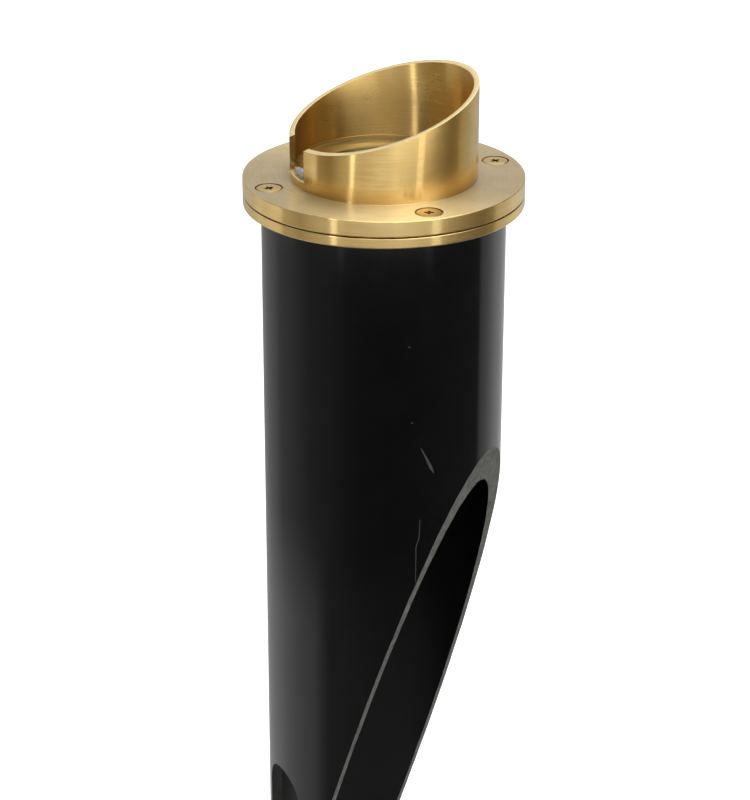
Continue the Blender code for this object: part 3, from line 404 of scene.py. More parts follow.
def cut_pvc(name, dark, pale):
    """Black PVC where a saw or cutter went through it: dull and grey, with the marks of the teeth."""
    material, tree = new_material(name)
    place = add(tree, "TexCoord", out="Object")
    teeth = add(tree, "TexNoise", {"Vector": place, "Scale": 1 / (TEETH_SIZE * MM), "Detail": 4.0})
    smear = add(tree, "TexNoise", {"Vector": place, "Scale": 1 / (SMEAR_SIZE * MM), "Detail": 3.0,
                                   "Distortion": 1.5})
    both = add(tree, "Math", (teeth, smear), operation="ADD")
    tone = add(tree, "MapRange", {"Value": both, "From Min": 0.65, "From Max": 1.35})
    colour = add(tree, "Mix", {"Factor": tone, "A": linear(dark), "B": linear(pale)}, data_type="RGBA")
    bite = add(tree, "Bump", {"Height": both, "Strength": 0.5, "Distance": 0.3 * MM})
    shader = add(tree, "BsdfPrincipled", {"Base Color": colour, "Roughness": 0.7, "Normal": bite,
                                          "IOR": 1.53})
    add(tree, "OutputMaterial", {"Surface": shader})
    return material


sawn_pvc = cut_pvc("sawn_black_pvc", "#282826", "#6E6E68")
routed_pvc = cut_pvc("routed_black_pvc", "#141414", "#232322")
print("materials", sawn_pvc.name, routed_pvc.name)

# %% [markdown]
# ## Glass
# The lens is a plain toughened disc and the lamp's capsule is quartz. Principled transmission shows what lies
# under them, and a mix with a transparent shader on shadow rays lets the studio light through to the lamp,
# which path tracing would otherwise lose.

# %% Glass
WIPE_SIZE = 6            # mm; faint smears from wiping


def clear_glass(name, tint, roughness, index):
    """Glass with faint smears, which lets the studio's light through to what it covers."""
    material, tree = new_material(name)
    place = add(tree, "TexCoord", out="Object")
    smear = add(tree, "TexNoise", {"Vector": place, "Scale": 1 / (WIPE_SIZE * MM), "Detail": 4.0})
    rough = add(tree, "MapRange", {"Value": smear, "From Min": 0.35, "From Max": 0.75, "To Min": roughness,
                                   "To Max": roughness + 0.06})
    glass = add(tree, "BsdfPrincipled", {"Base Color": linear(tint), "Roughness": rough, "IOR": index,
                                         "Transmission Weight": 1.0})
    clear = add(tree, "BsdfTransparent", {"Color": linear(tint)})
    shadow = add(tree, "LightPath", out="Is Shadow Ray")
    add(tree, "OutputMaterial", {"Surface": add(tree, "MixShader", (shadow, glass, clear))})
    return material


lens_glass = clear_glass("toughened_float_glass", "#FAFCFA", 0.01, 1.52)
quartz = clear_glass("fused_quartz", "#F4F6F8", 0.01, 1.46)
print("materials", lens_glass.name, quartz.name)

# %% [markdown]
# ## Rubber, nylon, steel, ceramic and silicone
# Moulded rubber and nylon are a dull charcoal black with a fine grain and faint mould bloom, so their
# roughness does the work. The other small finishes have one grain each, which sets their colour, roughness
# and relief together: lines along drawn steel, specks in pressed ceramic, slow clouds on the mirror coat.

# %% Finishes of the small pieces
BLOOM_SIZE = 7           # mm
WHOLE, MIDDLE, METAL = (0.0, 1.0), (0.3, 0.7), {"Metallic": 1.0}


def matte_black(name, dark, bloom, roughness, grain_mm):
    """Moulded rubber or nylon: near black, dull, with fine grain and a faint grey bloom."""
    material, tree = new_material(name)
    place = add(tree, "TexCoord", out="Object")
    grain = add(tree, "TexNoise", {"Vector": place, "Scale": 1 / (grain_mm * MM), "Detail": 3.0})
    haze = add(tree, "TexNoise", {"Vector": place, "Scale": 1 / (BLOOM_SIZE * MM), "Detail": 4.0})
    tone = add(tree, "MapRange", {"Value": haze, "From Min": 0.35, "From Max": 0.75})
    colour = add(tree, "Mix", {"Factor": tone, "A": linear(dark), "B": linear(bloom)}, data_type="RGBA")
    rough = add(tree, "MapRange", {"Value": grain, "From Min": 0.3, "From Max": 0.7,
                                   "To Min": roughness - 0.08, "To Max": roughness + 0.08})
    pits = add(tree, "Bump", {"Height": grain, "Strength": 0.25, "Distance": 0.08 * MM})
    shader = add(tree, "BsdfPrincipled", {"Base Color": colour, "Roughness": rough, "Normal": pits,
                                          "IOR": 1.52})
    add(tree, "OutputMaterial", {"Surface": shader})
    return material


def grained(name, deep, pale, grain_mm, detail, tones, grip, roughness, relief, more):
    """A finish with one grain, sized along X, Y and Z. Two ranges of the noise give colour and roughness."""
    material, tree = new_material(name)
    place = add(tree, "TexCoord", out="Object")
    drawn = add(tree, "Mapping", {"Vector": place, "Scale": [1 / (size * MM) for size in grain_mm]})
    grain = add(tree, "TexNoise", {"Vector": drawn, "Scale": 1.0, "Detail": detail})
    tone = add(tree, "MapRange", {"Value": grain, "From Min": tones[0], "From Max": tones[1]})
    colour = add(tree, "Mix", {"Factor": tone, "A": linear(deep), "B": linear(pale)}, data_type="RGBA")
    rough = add(tree, "MapRange", {"Value": grain, "From Min": grip[0], "From Max": grip[1],
                                   "To Min": roughness[0], "To Max": roughness[1]})
    strength, depth_mm = relief
    bumps = add(tree, "Bump", {"Height": grain, "Strength": strength, "Distance": depth_mm * MM})
    shader = add(tree, "BsdfPrincipled", {"Base Color": colour, "Roughness": rough, "Normal": bumps, **more})
    add(tree, "OutputMaterial", {"Surface": shader})
    return material


moulded_rubber = matte_black("moulded_black_rubber", "#161617", "#262626", 0.62, 0.5)
moulded_nylon = matte_black("moulded_black_nylon", "#1B1B1C", "#232324", 0.45, 0.35)
# Dark sheet that hardly shines through the lens.
dark_steel = grained(
    "dark_sheet_steel", "#282726", "#3C3B3A", grain_mm=(0.4, 6.0, 0.4), detail=4.0, tones=WHOLE,
    grip=MIDDLE, roughness=(0.36, 0.48), relief=(0.15, 0.05), more=METAL)
# Bright grey with fine lines and a soft highlight.
bright_steel = grained(
    "drawn_stainless_steel", "#A8A7A3", "#C9C8C4", grain_mm=(0.3, 0.3, 5.0), detail=4.0, tones=WHOLE,
    grip=MIDDLE, roughness=(0.22, 0.34), relief=(0.15, 0.05), more=METAL)
# A cool to warm shimmer over a mirror.
mirror_coat = grained(
    "dichroic_mirror_on_glass", "#C3C8D6", "#DAD3C6", grain_mm=(12, 12, 12), detail=2.0, tones=WHOLE,
    grip=WHOLE, roughness=(0.06, 0.14), relief=(0.0, 0.05), more=METAL)
# Cream white and half dull, with a chalky grain.
pressed_ceramic = grained(
    "pressed_steatite_ceramic", "#D8D2C2", "#EBE7DB", grain_mm=(0.8, 0.8, 0.8), detail=4.0, tones=MIDDLE,
    grip=MIDDLE, roughness=(0.48, 0.48), relief=(0.2, 0.06), more={})
# Grey, wet-looking lumps that let a little light in.
cured_silicone = grained(
    "cured_silicone_bead", "#6F757C", "#C9CED6", grain_mm=(1.2, 1.2, 1.2), detail=3.0, tones=WHOLE,
    grip=WHOLE, roughness=(0.12, 0.12), relief=(0.4, 0.3),
    more={"IOR": 1.41, "Subsurface Weight": 0.8, "Subsurface Scale": 1.5 * MM,
          "Subsurface Radius": (1, 1, 1)})
print("materials", moulded_rubber.name, moulded_nylon.name, dark_steel.name, bright_steel.name)

# %% [markdown]
# ## Turning a profile
# Most pieces of this light come off a lathe, so one helper turns a closed profile of radius and height
# round Z. Sharp corners look false on metal, so each corner has a small round. Smooth shading would bend
# the flats next to a round, so a support point is set on either side, a tenth of a millimetre away. Holes
# and joins are Booleans between closed shapes, as cutters and welds work on the real pieces.

# %% Profile, turning and finishing helpers
def rounded(corners, steps=4, support=0.12):
    """A closed profile in mm with rounded corners. Each corner is (radius, height, round)."""
    points = []
    for number, (r, z, size) in enumerate(corners):
        here = Vector((r, z))
        before = Vector(corners[number - 1][:2]) - here
        after = Vector(corners[(number + 1) % len(corners)][:2]) - here
        shortest = min(before.length, after.length)
        before, after = before.normalized(), after.normalized()
        half = before.angle(after) / 2
        if size <= 0 or abs(half - math.pi / 2) < 0.02:
            points.append(here)
            continue
        cut = min(size / math.tan(half), shortest * 0.45)
        centre = here + (before + after).normalized() * (cut * math.tan(half) / math.sin(half))
        start, end = here + before * cut, here + after * cut
        roomy = cut + support < shortest * 0.5
        first = start - centre
        swing = first.angle_signed(end - centre)
        arms = [Matrix.Rotation(-swing * step / steps, 2) @ first for step in range(steps + 1)]
        lead_in, lead_out = [start + before * support] * roomy, [end + after * support] * roomy
        points += lead_in + [centre + arm for arm in arms] + lead_out
    return [(p.x, p.y) for p in points]


def turned(profile, segments):
    """A bmesh of a closed profile (radius, height in mm) turned round Z, in metres."""
    made = bmesh.new()
    rings = [[made.verts.new((r * MM * math.cos(turn), r * MM * math.sin(turn), z * MM)) for r, z in profile]
             for turn in (math.tau * step / segments for step in range(segments))]
    count = len(profile)
    for one, two in zip(rings, rings[1:] + rings[:1]):
        for here in range(count):
            there = (here + 1) % count
            made.faces.new((one[here], one[there], two[there], two[here]))
    bmesh.ops.remove_doubles(made, verts=made.verts, dist=1e-7)
    bmesh.ops.recalc_face_normals(made, faces=made.faces)
    return made


def bar(radius, low, high, segments=32):
    """A bmesh of a straight bar on Z, in mm."""
    return turned(((0, high), (radius, high), (radius, low), (0, low)), segments)


def block(*matrices):
    """A bmesh of a unit cube, placed and sized by matrices."""
    made = bmesh.new()
    matrix = Matrix()
    for step in matrices:
        matrix = matrix @ step
    bmesh.ops.create_cube(made, size=1.0, matrix=matrix)
    return made


def smoothed(mesh, sharp=40):
    """The mesh with smooth faces and sharp corners."""
    mesh.shade_smooth()
    mesh.set_sharp_from_angle(angle=math.radians(sharp))
    return mesh


def mesh_object(name, made, material):
    """Turns a bmesh into an object in the scene."""
    mesh = bpy.data.meshes.new(name)
    made.to_mesh(mesh)
    made.free()
    mesh.materials.append(material)
    return link(name, smoothed(mesh))


def lathe(name, corners, segments, material):
    """A turned object from (radius, height, round) corners in mm."""
    return mesh_object(name, turned(rounded(corners), segments), material)


def ring(outer, inner, low, high, edge, inner_edge=None):
    """Corners of a ring with a square section, or of a disc where the inner radius is 0."""
    inner_edge = edge if inner_edge is None else inner_edge
    return (outer, high, edge), (outer, low, edge), (inner, low, inner_edge), (inner, high, inner_edge)


def evaluated(shown):
    """A new mesh of what an object's modifiers or bevel give."""
    return bpy.data.meshes.new_from_object(shown.evaluated_get(bpy.context.evaluated_depsgraph_get()))


def combined(shown, operation, *tools):
    """Cuts closed tools out of a piece, joins them to it or keeps the common part. Removes the tools."""
    for tool in tools:
        step = shown.modifiers.new(operation, "BOOLEAN")
        step.operation, step.solver, step.object = operation, "EXACT", tool
        if operation == "UNION":
            step.material_mode = "TRANSFER"
    result = evaluated(shown)
    shown.modifiers.clear()
    shown.data = smoothed(result)
    for tool in tools:
        bpy.data.objects.remove(tool)
    return shown


def fit(shown, body, slot, *replaced):
    """Hands a finished piece to the frame: its body, and the CAD nodes it stands for, which it hides. The slot
    is not used.
    """
    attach(shown, body)
    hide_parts(*replaced)
    print(shown.name, "faces:", len(shown.data.polygons), "on", body)


def span(node):
    """Greatest radius, lowest and highest point of a turned CAD node, in mm."""
    low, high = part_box(node)
    return (high.x - low.x) / 2 / MM, low.z / MM, high.z / MM


def direction(azimuth):
    """Level unit vector at an azimuth in degrees, 0 towards the camera and growing to the right."""
    return Vector((math.sin(math.radians(azimuth)), -math.cos(math.radians(azimuth)), 0))


print("flange radius and heights:", [round(v, 2) for v in span("cowl_flange")])

# %% [markdown]
# ## Cowl and flange
# This is the piece that the eye goes to: one turned blank with a flange, a lens ledge and a tall collar,
# whose rim is cut on a slope. The collar is turned too high, bisected by the plane of the rim, closed again
# between its two open loops and given a fine bevel there. The drain notch and the countersunk holes are cut
# last, as on the real piece. A shallow line in the bore is where the boring tool stopped once.

# %% Cowl and flange
FLANGE_R, COVER_BOTTOM, RIM_HIGH = span("cowl_flange")
SEAL_R, SEAL_LOW, SEAL_TOP = span("lens_seal")
COWL_BORE = SEAL_R + 0.15
COWL_R = COWL_BORE + 1.7
BLANK_TOP = RIM_HIGH + 4
COVER_TOP = span("cover_screw_1")[2] + 0.15
LEDGE, APERTURE = 7.0, 21.5
RIM_LOW, RIM_AZIMUTH, RIM_BEVEL = 20.6, -66.3, 0.2
NOTCH_AZIMUTH, NOTCH_WIDTH, NOTCH_FLOOR = -70.5, 13.4, 10.7
CUTTER_DEEP, CUTTER_TALL = 12, 60        # the notch's cutter, larger than the wall it goes through
HEAD_R, HOLE_R, SHANK_HOLE_R, TOOL_LINE = 3.75, 4.25, 2.25, 23.2
SCREW_NODES = [f"cover_screw_{number}" for number in (1, 2, 3, 4)]
SCREW_CENTRES = [sum(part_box(node), Vector()) / 2 for node in SCREW_NODES]


def at_screws(make):
    """Closed tools, one on the axis of each cover screw. Make gives a new bmesh on Z."""
    tools = []
    for centre in SCREW_CENTRES:
        made = make()
        bmesh.ops.translate(made, verts=made.verts, vec=(centre.x, centre.y, 0))
        tools.append(mesh_object("screw_hole_tool", made, brass))
    return tools


cover = turned(rounded((
    (COWL_R, BLANK_TOP, 0), (COWL_R, COVER_TOP, 0.12), (FLANGE_R, COVER_TOP, 0.18),
    (FLANGE_R, COVER_BOTTOM, 0.3), (APERTURE, COVER_BOTTOM, 0.2), (APERTURE, LEDGE, 0.2),
    (COWL_BORE, LEDGE, 0.1), (COWL_BORE, TOOL_LINE - 0.3, 0), (COWL_BORE, TOOL_LINE - 0.15, 0),
    (COWL_BORE + 0.04, TOOL_LINE, 0), (COWL_BORE, TOOL_LINE + 0.15, 0), (COWL_BORE, TOOL_LINE + 0.3, 0),
    (COWL_BORE, BLANK_TOP, 0))), 256)
rim_normal = (direction(RIM_AZIMUTH) * ((RIM_HIGH - RIM_LOW) / (2 * COWL_R)) + Vector((0, 0, 1))).normalized()
sliced = bmesh.ops.bisect_plane(
    cover, geom=cover.verts[:] + cover.edges[:] + cover.faces[:], dist=1e-6, plane_no=rim_normal,
    plane_co=(0, 0, (RIM_HIGH + RIM_LOW) / 2 * MM), clear_outer=True)
rim_edges = [part for part in sliced["geom_cut"] if isinstance(part, bmesh.types.BMEdge)]
bmesh.ops.bridge_loops(cover, edges=rim_edges)
bmesh.ops.bevel(cover, geom=rim_edges, offset=RIM_BEVEL * MM, segments=3, affect="EDGES", profile=0.5,
                clamp_overlap=True)
bmesh.ops.recalc_face_normals(cover, faces=cover.faces)
cowl = mesh_object("brass_cowl_and_flange", cover, brass)

notch_tool = mesh_object("notch_tool", block(
    Matrix.Rotation(math.radians(NOTCH_AZIMUTH), 4, "Z"),
    Matrix.Translation((0, -COWL_R * MM, (NOTCH_FLOOR + CUTTER_TALL / 2) * MM)),
    Matrix.Diagonal((NOTCH_WIDTH * MM, CUTTER_DEEP * MM, CUTTER_TALL * MM, 1))), brass)
hole_tools = at_screws(lambda: turned((
    (0, COVER_TOP + 1), (HOLE_R, COVER_TOP + 1), (HOLE_R, COVER_TOP - 0.6), (SHANK_HOLE_R, COVER_TOP - 2.4),
    (SHANK_HOLE_R, COVER_BOTTOM - 1), (0, COVER_BOTTOM - 1)), 48))
combined(cowl, "DIFFERENCE", notch_tool, *hole_tools)
for finish in COWL_FINISHES:
    cowl.data.materials.append(finish)
FACED, MILLED, SHADED_APERTURE, BORED, PALER_SIDE = range(1, 6)
for face in cowl.data.polygons:
    reach, height = face.center.xy.length / MM, face.center.z / MM
    if face.normal.z > 0.95 and height < COVER_TOP + 0.1:
        face.material_index = FACED
    elif face.normal.z > 0.35 and height > NOTCH_FLOOR - 0.05:
        face.material_index = MILLED
    # The aperture's wall takes the dark brown brass, as painted shade.
    elif reach < APERTURE + 0.1:
        face.material_index = SHADED_APERTURE
    elif reach < COWL_BORE + 0.1 and height > LEDGE:
        face.material_index = BORED
    # The flange's edge is painted paler: painted light for a side that mirrors the dark table.
    elif reach > FLANGE_R - 0.4:
        face.material_index = PALER_SIDE
fit(cowl, "cover", "brass", "cowl_flange")

# %% [markdown]
# ## Cover screws
# Four countersunk screws with cross recesses hold the cover. One screw is turned and its recess is cut
# once. An attribute marks the recess, where the material paints shade as a darker brown. Geometry Nodes
# set a copy on each point of the bolt circle, turned by a seeded random angle, because no fitter stops
# four screws alike.

# %% Screw brass with painted shade in the recess
screw_brass = turned_brass("drawn_brass_screw", "#D6BC86", "#BFA26A", 0.40, 0.2, 0.0, 0.95, 0.2)
tree = screw_brass.node_tree
shader = next(node for node in tree.nodes if node.type == "BSDF_PRINCIPLED")
unshaded_colour = shader.inputs["Base Color"].links[0].from_socket
# Painted shade: the marked recess is mixed towards a dark brown.
recess_shade = add(tree, "Attribute", out="Fac", attribute_name="recess")
shaded_colour = add(tree, "Mix", {"Factor": recess_shade, "A": unshaded_colour, "B": linear("#6E5226")}, data_type="RGBA")
tree.links.new(shaded_colour, shader.inputs["Base Color"])
print("material", screw_brass.name)

# %% One screw
SCREW_TOP, SCREW_LOW, SHANK_R = COVER_TOP - 0.06, span("cover_screw_1")[1], 2.0
RECESS_SIZE, RECESS_R, RECESS_DEPTH = (4.0, 1.2, 2.8), 2.2, 2.0
TAPER, SIDE_TAPER = 0.45, 0.8        # how far the recess narrows towards its bottom
screw = lathe("screw_master", (
    (0, SCREW_TOP, 0), (HEAD_R, SCREW_TOP, 0.12), (HEAD_R, SCREW_TOP - 0.35, 0.08),
    (SHANK_R, SCREW_TOP - 2.5, 0.1), (SHANK_R, SCREW_LOW + 0.6, 0.05), (1.4, SCREW_LOW, 0.05),
    (0, SCREW_LOW, 0)), 64, screw_brass)
wings = []
for turn in (0, 90):
    wing = block(Matrix.Rotation(math.radians(turn), 4, "Z"), Matrix.Translation((0, 0, SCREW_TOP * MM)),
                 Matrix.Diagonal((*(size * MM for size in RECESS_SIZE), 1)))
    for corner in wing.verts:
        if corner.co.z < SCREW_TOP * MM:
            corner.co.x *= TAPER
            corner.co.y *= TAPER if turn else SIDE_TAPER
    wings.append(mesh_object("wing_tool", wing, screw_brass))
combined(screw, "DIFFERENCE", *wings)
recess = screw.data.attributes.new("recess", "FLOAT", "FACE")
for face, mark in zip(screw.data.polygons, recess.data):
    depth = SCREW_TOP - face.center.z / MM
    mark.value = float(face.center.xy.length < RECESS_R * MM and 0.05 < depth < RECESS_DEPTH)
print("one screw, faces:", len(screw.data.polygons))

# %% Copies round the axis
def new_tree(name, **kinds):
    """A Geometry Nodes tree with named inputs of each kind, and the sockets that give them."""
    tree = bpy.data.node_groups.new(name, "GeometryNodeTree")
    tree.interface.new_socket("Geometry", in_out="OUTPUT", socket_type="NodeSocketGeometry")
    for kind, labels in kinds.items():
        for label in labels:
            tree.interface.new_socket(label, in_out="INPUT", socket_type="NodeSocket" + kind)
    return tree, add(tree, "NodeGroupInput").node.outputs


def grown(name, tree, values, sharp=40):
    """Runs a Geometry Nodes tree with its named inputs set and returns the result as a plain mesh object."""
    holder = link(name, bpy.data.meshes.new(name))
    growth = holder.modifiers.new(name, "NODES")
    growth.node_group = tree
    for item in tree.interface.items_tree:
        if item.in_out == "INPUT":
            growth[item.identifier] = values[item.name]
    result = evaluated(holder)
    holder.modifiers.clear()
    holder.data = smoothed(result, sharp)
    return holder


copies_tree, given = new_tree(
    "copies_round_the_axis", Object=["Piece"], Int=["Count", "Seed"], Material=["Finish"],
    Float=["Circle radius", "First angle", "Spin"])
tree = copies_tree
spots = add(tree, "GeometryNodePoints", {"Count": given["Count"]})
step = add(tree, "Math", (math.tau, given["Count"]), operation="DIVIDE")
index = add(tree, "GeometryNodeInputIndex")
swing = add(tree, "Math", (index, step, given["First angle"]), operation="MULTIPLY_ADD")
across = add(tree, "CombineXYZ", {"X": given["Circle radius"]})
spot = add(tree, "VectorRotate", {"Vector": across, "Angle": swing}, rotation_type="Z_AXIS")
placed = add(tree, "GeometryNodeSetPosition", {"Geometry": spots, "Position": spot})
spun = add(tree, "FunctionNodeRandomValue", {2: 0.0, 3: given["Spin"], "Seed": given["Seed"]},
           data_type="FLOAT")
facing = add(tree, "CombineXYZ", {"Z": add(tree, "Math", (swing, spun), operation="ADD")})
source = add(tree, "GeometryNodeObjectInfo", {"Object": given["Piece"]}, out="Geometry")
copies = add(tree, "GeometryNodeInstanceOnPoints", {"Points": placed, "Rotation": facing, "Instance": source})
plain = add(tree, "GeometryNodeRealizeInstances", {"Geometry": copies})
painted = add(tree, "GeometryNodeSetMaterial", {"Geometry": plain, "Material": given["Finish"]})
add(tree, "NodeGroupOutput", {"Geometry": painted})
print("tree", copies_tree.name, "nodes:", len(copies_tree.nodes))

# %% Cover screws
first = SCREW_CENTRES[0]
cover_screws = grown("cover_screws", copies_tree, {
    "Piece": screw, "Count": 4, "Circle radius": first.xy.length, "First angle": math.atan2(first.y, first.x),
    "Spin": math.pi / 2, "Seed": 4, "Finish": screw_brass})
bpy.data.objects.remove(screw)
fit(cover_screws, "cover", "brass", *SCREW_NODES)

# %% [markdown]
# ## Pipe sleeve
# The sleeve is the main piece that follows a rule: a pipe, cut square at the top and by one slanted plane at
# the bottom. Geometry Nodes sweep the wall's rectangle round a circle, then lift every point of the lower
# end up to the saw plane, with a little noise for the saw. Where that plane runs below the pipe's end, the
# points stay and make the square tip. A rounded slot is taken out of the left side with a Mesh Boolean.

# %% Pipe sleeve: the swept wall
SLEEVE_R, SLEEVE_LOW, SLEEVE_TOP = span("sleeve_tube")
SLEEVE_WALL, SAW_NOISE = 3.6, 1.2
APEX_Z, APEX_AZIMUTH, CUT_ANGLE = -75.6, 61.3, 16.8
SLOT_WIDTH, SLOT_LENGTH, SLOT_Z, SLOT_AZIMUTH = 20.0, 50.0, -216.0, -62.0
SLOT_CUTTER = (20, 50)                       # mm from the axis, through one wall only
PIPE_SIDES, RASP_SIZE, END_BAND = 384, 5, 2  # sides round the pipe, and mm
SAWN_MATCH = 0.975                           # cosine; faces that look along the saw cut are sawn

tree, given = new_tree(
    "sawn_pipe_sleeve", Vector=["Cut side", "Slot side"], Material=["Skin", "Sawn skin", "Slot skin"],
    Float=["Outer radius", "Wall", "Top", "Tip", "Apex", "Rise", "Saw noise", "Slot height", "Slot width",
           "Slot length"])
half_wall = add(tree, "Math", (given["Wall"], 0.5), operation="MULTIPLY")
middle = add(tree, "Math", (given["Outer radius"], half_wall), operation="SUBTRACT")
tall = add(tree, "Math", (given["Top"], given["Tip"]), operation="SUBTRACT")
centre_z = add(tree, "Math", (add(tree, "Math", (given["Top"], given["Tip"]), operation="ADD"), 0.5),
               operation="MULTIPLY")
path = add(tree, "GeometryNodeCurvePrimitiveCircle", {"Resolution": PIPE_SIDES, "Radius": middle})
path = add(tree, "GeometryNodeSetCurveNormal", (path,), mode="Z_UP")
section = add(tree, "GeometryNodeCurvePrimitiveQuadrilateral", {"Width": given["Wall"], "Height": tall})
pipe = add(tree, "GeometryNodeCurveToMesh", {"Curve": path, "Profile Curve": section})
lift = add(tree, "CombineXYZ", {"Z": centre_z})
pipe = add(tree, "GeometryNodeTransform", {"Geometry": pipe, "Translation": lift})
print("tree", tree.name, "nodes for the wall:", len(tree.nodes))

# %% Pipe sleeve: the saw cut
place = add(tree, "GeometryNodeInputPosition")
along = add(tree, "VectorMath", (place, given["Cut side"]), operation="DOT_PRODUCT")
inward = add(tree, "Math", (given["Outer radius"], along), operation="SUBTRACT")
fall = add(tree, "Math", (inward, given["Rise"]), operation="MULTIPLY")
plane = add(tree, "Math", (given["Apex"], fall), operation="SUBTRACT")
rasp = add(tree, "TexNoise", {"Vector": place, "Scale": 1 / (RASP_SIZE * MM), "Detail": 3.0})
rasp = add(tree, "Math", (rasp, 0.5), operation="SUBTRACT")
rasp = add(tree, "Math", (rasp, given["Saw noise"]), operation="MULTIPLY")
ragged = add(tree, "Math", (plane, rasp), operation="ADD")
kept = add(tree, "Math", (ragged, given["Tip"]), operation="MAXIMUM")
shift = add(tree, "CombineXYZ", {"Z": add(tree, "Math", (kept, given["Tip"]), operation="SUBTRACT")})
height = add(tree, "SeparateXYZ", (place,), out="Z")
above_tip = add(tree, "Math", (height, given["Tip"]), operation="SUBTRACT")
lower_end = add(tree, "FunctionNodeCompare", {"A": above_tip, "B": END_BAND * MM}, operation="LESS_THAN")
sawn = add(tree, "GeometryNodeSetPosition", {"Geometry": pipe, "Selection": lower_end, "Offset": shift})
print("nodes with the saw cut:", len(tree.nodes))

# %% Pipe sleeve: the slot
drop = add(tree, "CombineXYZ", {"Z": given["Slot height"]})
reaches = [add(tree, "VectorMath", {0: given["Slot side"], "Scale": reach * MM}, operation="SCALE")
           for reach in SLOT_CUTTER]
near, far = (add(tree, "VectorMath", (reach, drop), operation="ADD") for reach in reaches)
bore = add(tree, "GeometryNodeCurvePrimitiveLine", {"Start": near, "End": far})
bore = add(tree, "GeometryNodeSetCurveNormal", (bore,), mode="Z_UP")
end_round = add(tree, "Math", (given["Slot width"], 0.4999), operation="MULTIPLY")
mouth = add(tree, "GeometryNodeCurvePrimitiveQuadrilateral", {"Width": given["Slot width"],
                                                              "Height": given["Slot length"]})
mouth = add(tree, "GeometryNodeFilletCurve", {0: mouth, "Radius": end_round, "Count": 16}, mode="POLY")
plug = add(tree, "GeometryNodeCurveToMesh", {"Curve": bore, "Profile Curve": mouth, "Fill Caps": True})
sawn = add(tree, "GeometryNodeSetMaterial", {"Geometry": sawn, "Material": given["Skin"]})
plug = add(tree, "GeometryNodeSetMaterial", {"Geometry": plug, "Material": given["Slot skin"]})
slotted = add(tree, "GeometryNodeMeshBoolean", {"Mesh 1": sawn, "Mesh 2": plug}, operation="DIFFERENCE",
              solver="EXACT")
print("nodes with the slot:", len(tree.nodes))

# %% Pipe sleeve: sawn faces and the finished piece
facing = add(tree, "GeometryNodeInputNormal")
saw_normal = add(tree, "VectorMath", {0: given["Cut side"], "Scale": given["Rise"]}, operation="SCALE")
saw_normal = add(tree, "VectorMath", (saw_normal, (0, 0, -1)), operation="ADD")
saw_normal = add(tree, "VectorMath", (saw_normal,), operation="NORMALIZE")
match = add(tree, "VectorMath", (facing, saw_normal), operation="DOT_PRODUCT")
flat_down = add(tree, "VectorMath", (facing, (0, 0, -1)), operation="DOT_PRODUCT")
closest = add(tree, "Math", (match, flat_down), operation="MAXIMUM")
on_cut = add(tree, "FunctionNodeCompare", {"A": closest, "B": SAWN_MATCH}, operation="GREATER_THAN")
painted = add(tree, "GeometryNodeSetMaterial", {"Geometry": slotted, "Selection": on_cut,
                                                "Material": given["Sawn skin"]})
add(tree, "NodeGroupOutput", {"Geometry": painted})

sleeve = grown("pipe_sleeve", tree, {
    "Outer radius": SLEEVE_R * MM, "Wall": SLEEVE_WALL * MM, "Top": SLEEVE_TOP * MM, "Tip": SLEEVE_LOW * MM,
    "Apex": APEX_Z * MM, "Rise": 1 / math.tan(math.radians(CUT_ANGLE)), "Cut side": direction(APEX_AZIMUTH),
    "Saw noise": SAW_NOISE * MM, "Slot side": direction(SLOT_AZIMUTH), "Slot height": SLOT_Z * MM,
    "Slot width": SLOT_WIDTH * MM, "Slot length": SLOT_LENGTH * MM, "Skin": extruded_pvc,
    "Sawn skin": sawn_pvc, "Slot skin": routed_pvc}, sharp=8)
fit(sleeve, "sleeve", "pipe_plastic", "sleeve_tube")
print("sleeve size", [round(v / MM, 2) for v in sleeve.dimensions], [m.name for m in sleeve.data.materials])

# %% [markdown]
# ## Lens and its silicone
# The lens is a toughened disc with ground edges. It sits in a thin ring of clear silicone. Where that wets
# the brass ledge it is only a film, so the brass shows through it, and the ground edge of the glass shows the
# colour of the brass round it. Both are drawn as brass with another finish. Where the silicone is squeezed
# out in the drain notch it has cured to a grey lump, swept here as a row of ovals that swell and shrink.

# %% Lens and seal
silicone_film = turned_brass(
    "clear_silicone_film_on_brass", "#CFAE68", "#BE984F", 0.40, 0.05, 0.6, 0.985, 0.4)
ground_edge = turned_brass(
    "ground_glass_edge_over_brass", "#E6CC8E", "#DABB78", 0.5, 0.05, 0.0, 0.95, 0.0)
LENS_R, LENS_LOW, LENS_TOP = span("lens_glass")
lens = lathe("glass_lens", ring(LENS_R, 0, LENS_LOW, LENS_TOP, 0.15, 0), 144, lens_glass)
lens.data.materials.append(ground_edge)
for face in lens.data.polygons:
    face.material_index = int(abs(face.normal.z) < 0.3)
fit(lens, "cover", "lens_glass", "lens_glass")

